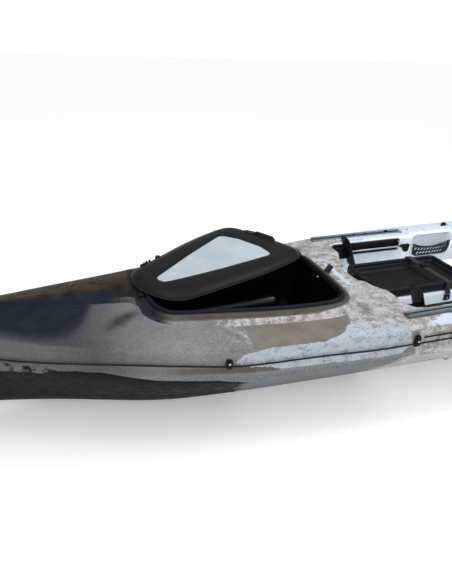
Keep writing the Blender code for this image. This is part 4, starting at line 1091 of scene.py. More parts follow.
# the raised land behind the latch, and the small hinge hardware at the fore end
land_ = [(1.474, .104), (1.499, .098), (1.5075, .060), (1.5075, -.060), (1.488, -.066), (1.474, -.050)]
land_r = fillet(land_, .012, 5, True)
lid_bits.append(loft("lid_land", [[(xs(s), y, Z1 - .004) for s, y in land_r],
                                  [(xs(s), y, Z1 + .0018) for s, y in land_r],
                                  [(xs(1.4905 + (s - 1.4905) * .93), y * .985, Z1 + .0032) for s, y in land_r]], LID, ang=50))
for k, (s_, y_, r_, h_) in enumerate(((.938, .1500, .0060, .0075), (.952, .1530, .0045, .0090), (.968, .1575, .0050, .0080), (.984, .1600, .0042, .0070), (1.034, .1700, .0100, .0052))):
    lid_bits.append(lathe("lid_stud", [(r_ * 1.1, -.010), (r_ * 1.1, 0), (r_, h_ * .4), (r_ * .8, h_ * .8), (r_ * .35, h_)],
                          (xs(s_), y_ - .002, Z1 - .0075), LID, 18))
shell = turned_lid(join("lid_shell", lid_bits))
shell.name = "hatch_lid_moulding"
put(shell, "lid", "black_plastic", "hatch_lid_shell")

pr = [pad_ring(-.060, Z1 - .0056), pad_ring(-.0010, Z1 - .0056), pad_ring(-.0002, Z1 - .0046), pad_ring(0, Z1 - .0032),
      pad_ring(-.0010, Z1 - .0022), pad_ring(-.0030, Z1 - .0017), pad_ring(-.012, Z1 - .0014), pad_ring(-.030, Z1 - .0013),
      pad_ring(-.060, Z1 - .0012), pad_ring(-.095, Z1 - .0012)]
pad_ = turned_lid(loft("pad", pr, PAD, ang=60))
pad_.name = "hatch_lid_foam"
put(pad_, "lid", "foam_pad", "hatch_lid_pad")
edge_ = turned_lid(loft("edge", [pad_ring(a, z) for a, z in ((.0004, Z1 - .0052), (.0011, Z1 - .0052), (.0012, Z1 - .0022), (.0008, Z1 - .0018),
                                                              (.0004, Z1 - .0024))], FOAM_EDGE, closed=True, ang=60))
edge_.name = "hatch_lid_pad_edge"
put(edge_, "lid", "foam_pad")

lt = [bevel(box("latch_bar", (1.487, -.047, Z1 + .0025), (1.511, .047, Z1 + .0078), BLACK), .0026, 4)]
lt.append(bevel(box("latch_grip", (1.4895, -.036, Z1 + .0060), (1.5030, .036, Z1 + .0088), BLACK), .0016, 3))
for k in range(7):
    lt.append(bevel(box("latch_tooth", (1.4905, -.0300 + .0100 * k - .0018, Z1 + .0078), (1.5020, -.0300 + .0100 * k + .0018, Z1 + .0093), BLACK), .0007, 2))
latch = turned_lid(join("latch", lt))
latch.name = "hatch_lid_catch"
put(latch, "lid", "black_plastic", "hatch_lid_latch")

pz = PLATFORM_TOP + .0003
post = lathe("hatch_swivel", [(.0098, 0), (.0100, .0006), (.0100, .0024), (.0072, .0034), (.0072, .0078), (.0100, .0088), (.0100, .0114),
                              (.0092, .0119), (.0042, .0119)], (xs(LID_PIVOT_S), 0, pz), BLACK, 40)
post = turned_lid(post)
post.name = "hatch_swivel_pivot"
put(post, "lid_post", "black_plastic", "hatch_swivel_post")

# webbing pull: a folded loop that leans aft from under the gasket
tab_pts = [(1.5290, .3752), (1.5360, .3768), (1.5410, .3830), (1.5470, .3920), (1.5530, .4000), (1.5570, .4026), (1.5590, .4000),
           (1.5550, .3930), (1.5490, .3840), (1.5430, .3770)]
tp = catmull([(s - .0015, 0, z) for s, z in tab_pts], 5)
bm = bmesh.new()
rings = []
for i, p in enumerate(tp):
    t = (tp[min(i + 1, len(tp) - 1)] - tp[max(i - 1, 0)]).normalized()
    nrm = Vector((-t.z, 0, t.x)) * .0009
    rings.append([bm.verts.new((xs(q.x), y, q.z)) for q, y in ((p - nrm, -.0015), (p - nrm, .0255), (p + nrm, .0255), (p + nrm, -.0015))])
for a, b_ in zip(rings, rings[1:]):
    for j in range(4):
        bm.faces.new((a[j], a[(j + 1) % 4], b_[(j + 1) % 4], b_[j]))
bm.faces.new(rings[0][::-1])
bm.faces.new(rings[-1])
tab = from_bm("hatch_pull_loop", bm, WEB, 40)
put(tab, "hull", "webbing", "hatch_pull_tab")
put(screw("hatch_pull_screw", (xs(1.4972), .004, .3640), (-1, 0, .35), .0044), "hull", "aluminium")

# ---------------------------------------------------------------- centre pod
def rr(e, z, r):
    return [(xs(s), y, z) for s, y in rrect(1.703 + e, 2.150 - e, -.128 + e, .128 - e, max(r, .004), 8)]


pod_rings = [rr(.0060, .3003, .018), rr(.0010, .3060, .022), rr(.0000, .3120, .022), rr(.0004, .3290, .022), rr(.0022, .3345, .0205),
             rr(.0060, .3368, .018), rr(.0105, .3366, .016), rr(.0150, .3352, .015), rr(.0172, .3338, .014), rr(.0182, .3290, .0135),
             rr(.0190, .3246, .013), rr(.0262, .3236, .010), rr(.0278, .3222, .010), rr(.0300, .3130, .010), rr(.0340, .3070, .009),
             rr(.0420, .3052, .008)]
bm = bmesh.new()
vv = [[bm.verts.new(p) for p in r] for r in pod_rings]
n_ = len(vv[0])
for i, (a, b_) in enumerate(zip(vv, vv[1:])):
    for j in range(n_):
        f = bm.faces.new((a[j], a[(j + 1) % n_], b_[(j + 1) % n_], b_[j]))
        f.material_index = 1 if i >= 10 else 0
bm.faces.new(vv[0][::-1])
bm.faces.new(vv[-1]).material_index = 1
pod = from_bm("tray", bm, POD_RIM, 45)
pod.data.materials.append(POD_IN)
pod_bits = [pod]
for y_ in (-.032, .034):
    pod_bits.append(bevel(box("tray_grip", (1.7052, y_ - .010, .3340), (1.7170, y_ + .010, .3390), BLACK), .0020, 3))
    pod_bits.append(bevel(box("tray_grip2", (1.7215, y_ - .007, .3280), (1.7268, y_ + .007, .3372), BLACK), .0016, 3))
put(join("pod_moulding", pod_bits), "pod", "pod_plastic", "pod_tray")

blk = [bevel(box("catch", (1.6415, -.0455, .3006), (1.7018, .0485, .3330), BLACK), .0050, 4)]
for k in range(6):
    blk.append(bevel(box("catch_rib", (1.6460 + .0092 * k, -.0440, .3310), (1.6498 + .0092 * k, .0470, .3372), BLACK), .0012, 2))
blk.append(bevel(box("catch_lip", (1.6930, -.0440, .3300), (1.7018, .0470, .3405), BLACK), .0020, 3))
blk.append(bevel(box("catch_tongue", (1.6420, .020, .3320), (1.6820, .040, .3392), BLACK), .0022, 3))
# a seat for the knob
blk.append(lathe("catch_boss", [(.0115, -.010), (.0115, .0010), (.0100, .0030), (.0060, .0034)], (xs(1.682), -.030, .3372), BLACK, 28))
put(join("pod_catch", blk), "hull", "black_plastic", "pod_latch_block")
kn = [lathe("knob", [(.0060, 0), (.0082, .0006), (.0085, .0020), (.0085, .0085), (.0074, .0108), (.0050, .0118), (.0020, .0119)],
            (xs(1.682), -.030, .3416), BLACK, 28)]
for k in range(10):
    a = 2 * math.pi * k / 10
    kn.append(lathe("knob_flute", [(.0012, 0), (.0016, .0010), (.0016, .0080), (.0008, .0092)],
                    (xs(1.682) + .0082 * math.cos(a), -.030 + .0082 * math.sin(a), .3418), BLACK, 8))
put(join("pod_knob", kn), "pod_latch", "black_plastic", "pod_latch_knob")


def strap(name, path, s0, s1, thick, mat, per=5):
    """Flat webbing along (y, z) points; its edges are slightly rolled and stitched."""
    P = catmull([(0, y, z) for y, z in path], per)
    bm = bmesh.new()
    rings = []
    cross = [(0, .00025), (.03, 0), (.5, -.0001), (.97, 0), (1, .00025), (1, thick - .00025), (.97, thick), (.5, thick + .0001),
             (.03, thick), (0, thick - .00025)]
    for i, p in enumerate(P):
        t = (P[min(i + 1, len(P) - 1)] - P[max(i - 1, 0)]).normalized()
        nrm = Vector((0, -t.z, t.y))
        wob = .0006 * math.sin(i * .55)
        rings.append([bm.verts.new((xs(s0 + (s1 - s0) * u) + wob, (p + nrm * h).y, (p + nrm * h).z)) for u, h in cross])
    m__ = len(cross)
    for a, b_ in zip(rings, rings[1:]):
        for j in range(m__):
            bm.faces.new((a[j], a[(j + 1) % m__], b_[(j + 1) % m__], b_[j]))
    bm.faces.new(rings[0][::-1])
    bm.faces.new(rings[-1])
    return from_bm(name, bm, mat, 50)


sp = [(-.1400, .2905), (-.1364, .3010), (-.1328, .307), (-.1312, .334), (-.1255, .3387), (-.112, .3395), (-.05, .3385),
      (.05, .3385), (.112, .3395), (.1255, .3387), (.1312, .334), (.1328, .307), (.1364, .3010), (.1400, .2905)]
st = [strap("strap", sp, 2.006, 2.030, .0016, WEB)]
st.append(strap("strap_tail", [(.004, .3406), (-.012, .3410), (-.040, .3412), (-.060, .3410), (-.074, .3412)], 2.008, 2.028, .0014, WEB))
put(join("pod_webbing", st), "pod", "webbing", "pod_strap")

bk = [bevel(box("buckle_a", (2.0025, .0085, .3425), (2.0335, .0270, .3490), BLACK), .0020, 3),
      bevel(box("buckle_b", (2.0055, .0260, .3430), (2.0305, .0435, .3485), BLACK), .0024, 3)]
for s_ in (2.0032, 2.0288):
    bk.append(bevel(box("buckle_arm", (s_, .0210, .3432), (s_ + .0040, .0395, .3494), BLACK), .0014, 3))
for k in range(3):
    bk.append(bevel(box("buckle_bar", (2.0070, .0110 + .0045 * k, .3486), (2.0290, .0128 + .0045 * k, .3499), BLACK), .0006, 2))
put(join("pod_buckle", bk), "pod", "black_plastic", "pod_strap_buckle")
for tag, sg in (("port", -1), ("starboard", 1)):
    y0, y1 = sorted((sg * .1371, sg * .1420))
    e_ = [bevel(box("eye_plate", (2.0045, y0, .2624), (2.0315, y1, .2876), BLACK), .0022, 4)]
    ring_pts = [(xs(2.018 + .0085 * math.cos(a)), sg * .1440, .2750 + .0085 * math.sin(a)) for a in [2 * math.pi * k / 28 for k in range(28)]]
    e_.append(tube("eye_rim", ring_pts, .0028, BLACK, cyclic=True, sides=10))
    put(join("pod_strap_anchor_" + tag, e_), "hull", "black_plastic", "pod_strap_eye_" + tag)
    put(screw("pod_strap_screw_" + tag, (xs(2.018), sg * .1422, .2750), (0, sg, 0), .0044), "hull", "aluminium")

# ---------------------------------------------------------------- foot braces
for tag, sg in (("port", -1), ("starboard", 1)):
    # track: an extrusion with lips along its slot and grooves on its face
    prof_ = [(.2964, .3022), (.2964, .3558), (.2835, .3558), (.2820, .3545), (.2820, .3520), (.2832, .3510), (.2832, .3500), (.2818, .3490),
             (.2818, .3462), (.2830, .3452), (.2830, .3442), (.2815, .3432), (.2815, .3412), (.2938, .3412), (.2938, .3168), (.2815, .3168),
             (.2815, .3148), (.2830, .3138), (.2830, .3128), (.2818, .3118), (.2818, .3090), (.2832, .3080), (.2832, .3070), (.2820, .3060),
             (.2820, .3035), (.2835, .3022)]
    tr = [loft("track", [[(xs(s if s > 2 else s - (.2966 - y) * 1.2), sg * y, z) for y, z in prof_] for s in (1.7370, 2.0820)], BLACK, ang=25)]
    for s0, s1 in ((2.0700, 2.0848),):
        y0, y1 = sorted((sg * .2804, sg * .2966))
        tr.append(bevel(box("track_end", (s0, y0, .3021), (s1, y1, .3559), BLACK), .0022, 3))
        for z_ in (.3120, .3460):
            tr.append(lathe("track_screw", [(.0036, -.001), (.0036, .0008), (.0026, .0016), (.0010, .0018)], (xs((s0 + s1) / 2), sg * .2803, z_), SCREW, 16, axis=(0, -sg, 0)))
    for k in range(15):                                 # teeth that the carriage locks on
        s_ = 1.765 + .0195 * k
        y0, y1 = sorted((sg * .2938, sg * .2925))
        tr.append(box("track_tooth", (s_, y0, .3172), (s_ + .0075, y1, .3225), BLACK))
    put(join("brace_track_" + tag, tr), "hull", "black_plastic", "foot_track_" + tag)

    ps = PEDAL_S
    y0, y1 = sorted((sg * .2500, sg * .2802))
    def wedge(nm, s_a, top, ya_, yb_, back, low_=.3020):
        """A block whose back leans with the pedal plate."""
        def rim(g):
            return [(s_a + g, low_ + g), (ps + .0325 + PEDAL_LEAN * (.330 - low_) - back - g, low_ + g),
                    (ps + .0325 - PEDAL_LEAN * (top - .330) - back - g, top - g), (s_a + g, top - g)]
        return loft(nm, [[(xs(s), y, z) for s, z in fillet(rim(g), .005, 3, True)] for g, y in
                         ((.0035, ya_), (.0008, ya_ + .0022 * (1 if yb_ > ya_ else -1)), (0, ya_ + (yb_ - ya_) * .25), (0, yb_ - (yb_ - ya_) * .15),
                          (.0020, yb_))], BLACK, ang=40)
    ca = [wedge("carriage", ps - .0300, .3500, sg * .2500, sg * .2804, 0)]
    ca.append(wedge("carriage_cap", ps - .0060, .3420, sg * .2484, sg * .2560, .002))
    for k in range(4):
        s_ = ps - .0060 + .0085 * k
        y0_, y1_ = sorted((sg * .2484, sg * .2520))
        ca.append(bevel(box("carriage_rib", (s_, y0_, .3060), (s_ + .0028, y1_, .3400), BLACK), .0008, 2))
    ca.append(lathe("carriage_boss", [(.0130, -.004), (.0130, .0010), (.0115, .0030), (.0060, .0036), (.0055, .0020), (.0020, .0020)],
                    (xs(ps - .0165), sg * .2502, .3290), BLACK, 28, axis=(0, -sg, 0)))
    hook = catmull([(xs(ps - .020), sg * .2640, .3400), (xs(ps - .026), sg * .2640, .3500), (xs(ps - .038), sg * .2640, .3540),
                    (xs(ps - .050), sg * .2640, .3500), (xs(ps - .054), sg * .2640, .3400), (xs(ps - .050), sg * .2640, .3300)], 6)
    ca.append(tube("carriage_hook", hook, .0048, BLACK, sides=14, squash_=(1, 1.5),
                   radii=[1 - .30 * (k / (len(hook) - 1)) ** 2 for k in range(len(hook))]))
    ca.append(lathe("hook_roll", [(.0080, -.0085), (.0105, -.0070), (.0110, 0), (.0105, .0070), (.0080, .0085), (.0030, .0087)],
                    (xs(ps - .0480), sg * .2640, .3290), BLACK, 24, axis=(0, -sg, 0)))
    put(join("brace_carriage_" + tag, ca), "pedal_" + tag, "black_plastic", "pedal_carriage_" + tag)
    put(screw("brace_screw_" + tag, (xs(ps - .0480), sg * .2548, .3290), (0, -sg, 0), .0034), "pedal_" + tag, "aluminium")

    out = fillet([(.2065, .2790), (.2140, .2630), (.2620, .2625), (.2742, .2730), (.2752, .3980), (.2680, .4115), (.2270, .4155), (.2085, .4040)],
                 [.008, .006, .008, .010, .012, .008, .010, .010], 5, True)
    cy, cz = .2410, .3390

    def face(dx, k):
        return [(xs(ps + dx + PEDAL_LEAN * (.330 - (cz + (z - cz) * k))), sg * (cy + (y - cy) * k), cz + (z - cz) * k) for y, z in out]
    pd = [loft("pedal", [face(.0337, .965), face(.0341, .985), face(.0350, 1.0), face(.0381, 1.0), face(.0391, .985), face(.0394, .965)], BLACK, ang=40)]
    for k in range(10):                                 # tread bars, both faces
        z_ = .276 + .0136 * k
        for dx, dd in ((.0394, .0008), (.0337, -.0008)):
            c = Vector((xs(ps + dx + PEDAL_LEAN * (.330 - z_)), sg * .2410, z_))
            b_ = bevel(box("tread", (LENGTH / 2 - .0010, -.0245 if k < 9 else -.016, -.0020), (LENGTH / 2 + .0010, .0245 if k < 9 else .016, .0020), BLACK), .0007, 2)
            b_.location = c + Vector((dd * .3, 0, 0))
            b_.rotation_euler = (math.radians(0), -math.atan(PEDAL_LEAN), 0)
            pd.append(b_)
    # rolled rim along the top and the outer side
    pd.append(tube("pedal_rim", [(xs(ps + .0365 + PEDAL_LEAN * (.330 - z)), sg * y, z) for y, z in out], .0031, BLACK, cyclic=True, sides=8))
    put(join("brace_pedal_" + tag, pd), "pedal_" + tag, "black_plastic", "pedal_plate_" + tag)

    y = sg * .2615
    r0_ = ps + .0395 + PEDAL_LEAN * .0045 + .0012
    prof_r = [(.0030, r0_), (.0034, r0_ + .0008)]
    for k in range(24):
        prof_r += [(.0034, r0_ + .008 + .0016 * k), (.0030, r0_ + .0088 + .0016 * k)] if k < 12 else []
    prof_r += [(.0034, 1.86), (.0034, 2.0700), (.0028, 2.0736)]
    rod = lathe("brace_adjuster_rod_" + tag, [(r, s - r0_) for r, s in prof_r], (xs(r0_), y, .329), ALU, 20, axis=(1, 0, 0))
    put(rod, "brace_" + tag, "aluminium", "brace_rod_" + tag)
    # handle: a collar and a tapered blade hanging below it
    hd = [lathe("grip_collar", [(.0048, 0), (.0062, .0010), (.0066, .0035), (.0066, .0130), (.0055, .0150), (.0020, .0152)],
                (xs(2.0748), y, .329), BLACK, 24, axis=(1, 0, 0))]
    bl = fillet([(2.0820, .3360), (2.1290, .3362), (2.1260, .3050), (2.1180, .2975), (2.1050, .2980), (2.0940, .3120)],
                [.003, .004, .006, .006, .006, .006], 4, True)
    hd.append(loft("grip_blade", [[(xs(2.106 + (s - 2.106) * k), y + dy * sg, .318 + (z - .318) * k) for s, z in bl]
                                  for k, dy in ((.93, -.0062), (1.0, -.0048), (1.0, .0048), (.93, .0062))], BLACK, ang=40))
    for k in range(4):
        y0, y1 = sorted((y - .0068, y + .0068))
        hd.append(bevel(box("grip_bar", (2.1000, y0, .3045 + .0068 * k), (2.1230, y1, .3068 + .0068 * k), BLACK), .0009, 2))
    put(join("brace_grip_" + tag, hd), "brace_" + tag, "black_plastic", "brace_handle_" + tag)

# ---------------------------------------------------------------- gear tracks on the gunwales
for tag, sg in (("port", -1), ("starboard", 1)):
    zr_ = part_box("gear_track_" + tag)[0][2]
    pf = [(-.0172, .0003), (.0172, .0003), (.0175, .0010), (.0175, .0118), (.0168, .0125), (.0075, .0125), (.0060, .0118), (.0060, .0098),
          (.0132, .0095), (.0135, .0090), (.0135, .0036), (.0130, .0030), (-.0130, .0030), (-.0135, .0036), (-.0135, .0090),
          (-.0132, .0095), (-.0060, .0098), (-.0060, .0118), (-.0075, .0125), (-.0168, .0125), (-.0175, .0118), (-.0175, .0010)]
    bits = [loft("rail", [[(xs(s), sg * RAIL_Y + y, zr_ + z + sg * y * .17) for y, z in pf] for s in (1.6500, 2.1245)], RAIL, ang=25)]
    for s_ in (1.668, 1.812, 1.960, 2.108):
        bits.append(lathe("rail_screw", [(.0048, 0), (.0046, .0010), (.0030, .0018), (.0012, .0014)], (xs(s_), sg * RAIL_Y, zr_ + .0030), SCREW, 18))
    put(join("gear_rail_" + tag, bits), "hull", "aluminium", "gear_track_" + tag)
    nuts = []
    for s_, r_, h_ in ((1.868, .0046, .0030), (1.928, .0046, .0026), (2.042, .0080, .0075)):
        nuts.append(lathe("slider", [(.0056, .0022), (.0056, .0100), (r_, .0127), (r_, .0127 + h_ * .6), (r_ * .7, .0127 + h_), (r_ * .25, .0127 + h_)],
                          (xs(s_), sg * RAIL_Y, zr_ + .0011), BLACK, 6 if r_ < .006 else 20))
    put(join("gear_slides_" + tag, nuts), "hull", "black_plastic")
    zc = deck_z(2.164, .341) + .0012
    put(screw("deck_screw_" + tag, (xs(2.164), sg * .341, zc), (0, 0, 1), .0050, BLACK), "hull", "black_plastic")

# ---------------------------------------------------------------- mesh pockets
def pocket_outline():
    n = 24
    top = [(.003 + .216 * k / n, .0635 - .0175 * math.sin(math.pi * (k / n) ** .8) + .002 * (k / n)) for k in range(n + 1)]
    return [(.003, .030), (.006, .012), (.020, .002), (.036, 0)] + [(.186, 0), (.205, .004), (.216, .018), (.219, .036)] + top[::-1]


for tag, sg in (("port", -1), ("starboard", 1)):
    ol = pocket_outline()
    base = loft("pocket", [[(u, v, 0) for u, v in ol], [(u, v, .0030) for u, v in ol]], MESH, ang=30)
    cut = []
    for row, (v0, lo_, hi_) in enumerate(((.0150, 1, 10), (.0345, 0, 11), (.0520, 9, 12))):
        for k in range(lo_, hi_):
            u = .0150 + .0175 * k + .0030 * row
            vv_ = v0 + (.0018 * ((k - 5) / 5) ** 2 * 2 if row else 0)
            el = [(7.0e-3 * math.cos(a), 7.6e-3 * math.sin(a)) for a in [2 * math.pi * q / 16 for q in range(16)]]
            sh = .55
            pts_ = [(u + (a * .74 + b_ * sh), vv_ + b_) for a, b_ in el]
            if max(p[0] for p in pts_) > .2135:
                continue
            cut.append(loft("hole", [[(a, b_, -.002) for a, b_ in pts_], [(a, b_, .006) for a, b_ in pts_]], None))
    holes_ = join("holes", cut)
    mo = base.modifiers.new("holes", "BOOLEAN")
    mo.object = holes_
    mo.solver = "EXACT"
    base = bake(base)
    bpy.data.objects.remove(holes_, do_unlink=True)
    bm = bmesh.new()
    bm.from_mesh(base.data)
    bmesh.ops.triangulate(bm, faces=[f for f in bm.faces if len(f.verts) > 4])
    for k in range(1, 26):
        u = .219 * k / 26
        bmesh.ops.bisect_plane(bm, geom=bm.verts[:] + bm.edges[:] + bm.faces[:], plane_co=(u, 0, 0), plane_no=(1, 0, 0), dist=1e-6)
    for v in bm.verts:
        u, w, d = v.co
        q = u / .219
        y_ = .2915 - .0115 * math.sin(math.pi * min(max(q, 0), 1)) ** .8 * (.45 + .55 * w / .064) - d
        v.co = Vector((xs(2.1775 + u), sg * y_, .2545 + w))
    bm.to_mesh(base.data)
    bm.free()
    bits = [base]
    # bound edge
    loop_ = []
    for u, w in ol:
        q = u / .219
        y_ = .2915 - .0115 * math.sin(math.pi * min(max(q, 0), 1)) ** .8 * (.45 + .55 * w / .064) - .0015
        loop_.append((xs(2.1775 + u), sg * y_, .2545 + w))
    bits.append(tube("pocket_rim", loop_, .0026, MESH, cyclic=True, sides=8))
    pk = join("mesh_pocket_net_" + tag, bits)
    put(pk, "hull", "mesh", "mesh_pocket_" + tag)
    scs = []
    for u, w in ((.0085, .052), (.033, .0050), (.110, .0045), (.192, .0065), (.2135, .0560)):
        q = u / .219
        y_ = .2915 - .0115 * math.sin(math.pi * q) ** .8 * (.45 + .55 * w / .064) - .0032
        scs.append(screw("s", (xs(2.1775 + u), sg * y_, .2545 + w), (0, -sg, 0), .0026))
    put(join("mesh_pocket_screws_" + tag, scs), "hull", "aluminium")
    # the moulded frame round the recess above the net
    fr = [(xs(s), sg * .3033, z) for s, z in [(p[0], p[1]) for p in rrect(2.1765, 2.3985, .2560, .3595, .016, 6)]]
    put(tube("pocket_frame_" + tag, fr, .0030, HULL_WHITE, cyclic=True, sides=10), "hull", "hull_plastic")

# ---------------------------------------------------------------- side lines and pad eyes
EYES = [.24, 1.026, 1.662, 2.93, 3.86]


def rope(name, pts, r, mat, body, slot, node):
    """A rope: one round tube along a smoothed, evenly spaced path."""
    P = even(catmull(pts, 6), max(24, int(len(pts) * 7)))
    return put(tube(name, P, r, mat, sides=12), body, slot, node)


for tag, sg in (("port", -1), ("starboard", 1)):
    P = [(xs(s), sg * (side_y(s) + .0075), line_z(s)) for s in np.linspace(.262, 3.838, 90)]
    rope("rope_side_" + tag, P, .0030, ROPE, "hull", "rope", "side_line_" + tag)
    P = [(xs(s), sg * (side_y(s) + .0075), line_z(s) + .022) for s in np.linspace(1.684, 2.905, 34)]
    rope("rope_trolley_" + tag, P, .0030, ROPE, "hull", "rope", "trolley_line_" + tag)
    for i, s in enumerate(EYES):
        y = side_y(s)
        slope = math.atan2(side_y(s + .02) - side_y(s - .02), .04)
        big = i in (2, 3)
        tall = .046 if big else .034
        zc = line_z(s) + (.0095 if big else .008 if i == 1 else .010 if i == 0 else .001)
        base = Vector((xs(s), sg * (y + .0100), zc))
        R = Matrix.Rotation(sg * slope, 4, "Z")
        t_ = R @ Vector((1, 0, 0))
        o_ = R @ Vector((0, sg, 0))
        bits = []
        pl = [(-.0105, -tall / 2 + .006), (-.0060, -tall / 2), (.0060, -tall / 2), (.0105, -tall / 2 + .006), (.0120, 0),
              (.0105, tall / 2 - .006), (.0060, tall / 2), (-.0060, tall / 2), (-.0105, tall / 2 - .006), (-.0120, 0)]
        pl = fillet(pl, [.004] * 10, 3, True)
        bits.append(loft("eye_plate", [[base + t_ * a * k + o_ * d + Vector((0, 0, b_ * k)) for a, b_ in pl]
                                       for k, d in ((.96, -.0074), (1, -.0066), (1, -.0042), (.93, -.0032))], BLACK, ang=40))
        zl = line_z(s)
        cord_c = Vector((xs(s), sg * (y + .0075), zl))
        # the ring that the rope runs through, and the nose above it
        rg = [cord_c + o_ * (.0062 * math.cos(a)) + Vector((0, 0, .0062 * math.sin(a))) for a in [2 * math.pi * k / 26 for k in range(26)]]
        for dx in ((-.0045, 0, .0045) if not 0 < i < 4 else (-.0055, -.0018, .0018, .0055)):
            bits.append(tube("eye_ring", [p + t_ * dx for p in rg], .0030 if abs(dx) < .003 else .0025, BLACK, cyclic=True, sides=10))
        nose_z = zl + (.0125 if not big else .0120)
        nose = base + o_ * .0000 + Vector((0, 0, nose_z - zc))
        bits.append(lathe("eye_nose", [(.0100, -.006), (.0098, -.002), (.0088, .0018), (.0070, .0040), (.0052, .0048), (.0046, .0040), (.0015, .0038)],
                          nose, BLACK, 26, axis=o_))
        if big:
            rg2 = [cord_c + Vector((0, 0, .022)) + o_ * (.0060 * math.cos(a)) + Vector((0, 0, .0060 * math.sin(a))) for a in [2 * math.pi * k / 24 for k in range(24)]]
            for dx in (-.004, .004):
                bits.append(tube("eye_ring", [p + t_ * dx for p in rg2], .0026, BLACK, cyclic=True, sides=10))
        else:
            bits.append(lathe("eye_foot", [(.0052, -.005), (.0050, -.001), (.0034, .0010), (.0012, .0014)],
                              base + Vector((0, 0, max(zl - .0125, zc - tall / 2 + .0060) - zc)) - o_ * .0030, BLACK, 18, axis=o_))
        put(join(f"lead_eye_{i + 1}_{tag}", bits), "hull", "black_plastic", f"pad_eye_{i + 1}_{tag}")
        put(screw(f"lead_eye_screw_{i + 1}_{tag}", nose + o_ * .0040, o_, .0040), "hull", "aluminium")

for tag, sg in (("port", -1), ("starboard", 1)):
    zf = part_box("gunwale_eye_" + tag)[0][2] + .0002
    bits = []
    pl = fillet([(2.3690, .3395), (2.4010, .3395), (2.4030, .3450), (2.4010, .3505), (2.3690, .3505), (2.3670, .3450)], [.003] * 6, 3, True)
    bits.append(loft("eye_plate", [[(xs(2.385 + (s - 2.385) * k), sg * (.345 + (y - .345) * k), zf + h) for s, y in pl]
                                   for k, h in ((1.0, .0004), (1.0, .0030), (.92, .0042))], BLACK, ang=40))
    arch = fillet([(2.3705, .0030), (2.3990, .0030), (2.3985, .0100), (2.3920, .0168), (2.3780, .0168), (2.3715, .0100)], [.001, .001, .004, .004, .004, .004], 4, True)
    bits.append(loft("eye_body", [[(xs(2.3848 + (s - 2.3848) * k), sg * (.345 + d), zf + .003 + (z - .003) * k) for s, z in arch]
                                  for k, d in ((.90, -.0048), (1, -.0036), (1, .0036), (.90, .0048))], BLACK, ang=40))
    put(join("deck_eye_" + tag, bits), "hull", "black_plastic", "gunwale_eye_" + tag)
    rg = [(xs(2.4075) + .0085 * math.cos(a), sg * .345 + .0085 * math.sin(a) * .9, zf + .0060 + .0040 * math.cos(a) * -1) for a in [2 * math.pi * k / 30 for k in range(30)]]
    put(tube("deck_ring_" + tag, rg, .0015, SCREW, cyclic=True, sides=10), "hull", "aluminium")

# ---------------------------------------------------------------- carry handles
for name, s0, s1, h in (("bow_handle", .115, .275, .036), ("stern_handle", 4.165, 4.020, .036)):
    pts = []
    for k in range(41):
        u = k / 40
        s = s0 + (s1 - s0) * u
        base = float(at("Z", s0)) + (float(at("Z", s1)) - float(at("Z", s0))) * u
        pts.append((s, base + .0075 + (h * math.sin(math.pi * u) ** .8 if 0 < u < 1 else 0)))
    rad = [1.0 if .24 < k / 40 < .76 else .66 for k in range(41)]
    rad = [sum(rad[max(0, k - 1):k + 2]) / len(rad[max(0, k - 1):k + 2]) for k in range(41)]
    bits = [tube("grip", [(xs(s), 0, z) for s, z in pts], .0084, GRIP, radii=rad, sides=20)]
    for k in range(12, 30):
        if k % 2:
            s, z = pts[k]
            q = Vector((xs(pts[k + 1][0]) - xs(pts[k - 1][0]), 0, pts[k + 1][1] - pts[k - 1][1])).normalized()
            bits.append(lathe("grip_ring", [(.0080, -.0012), (.0089, -.0006), (.0089, .0006), (.0080, .0012)], (xs(s), 0, z), GRIP, 20, axis=q))
    for s_, (s, z) in ((s0, pts[0]), (s1, pts[-1])):
        zb = float(at("Z", s_))
        pl = rrect(s - .012, s + .012, -.010, .010, .008, 6)
        bits.append(loft("foot", [[(xs(a), b_, zb + hh + (a - s) * (-.065 if s_ < 1 else .115)) for a, b_ in pl] for hh in (.0004, .0050)], BLACK, ang=40))
    put(join(name + "_grip", bits), "hull", "black_plastic", name)

for tag, sg in (("port", -1), ("starboard", 1)):
    yb = float(at("B", 2.56)) + .0130
    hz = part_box("side_handle_" + tag)[1][2]
    b_lo, b_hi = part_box("side_handle_" + tag)
    yb = abs(b_lo[1] + b_hi[1]) / 2
    corner = [(2.470, .341), (2.470, .310), (2.4715, .285), (2.480, .268), (2.497, .2605), (2.520, .259), (2.560, .259), (2.600, .259), (2.623, .2605),
              (2.640, .268), (2.6485, .285), (2.650, .310), (2.650, .341)]
    P = even(catmull([(xs(s), sg * yb, z) for s, z in corner], 6), 70)
    rad = []
    for p in P:
        q = abs(p.x - xs(2.560))
        rad.append(.60 if q > .050 else 1.0 if q < .042 else 1.0 - .4 * (q - .042) / .008)
    bits = [tube("bail", P, .0085, BLACK, radii=rad, sides=18)]
    for k in range(9):
        bits.append(lathe("bail_ring", [(.0080, -.0016), (.0088, -.0010), (.0088, .0010), (.0080, .0016)],
                          (xs(2.5280 + .008 * k), sg * yb, .259), GRIP, 20, axis=(1, 0, 0)))
    for s_ in (2.470, 2.650):
        bits.append(lathe("bail_eye", [(.0040, -.0048), (.0060, -.0042), (.0062, 0), (.0060, .0042), (.0040, .0048)], (xs(s_), sg * yb, .3405), BLACK, 24, axis=(1, 0, 0)))
    put(join("carry_handle_" + tag, bits), "side_handle_" + tag, "black_plastic", "side_handle_" + tag)

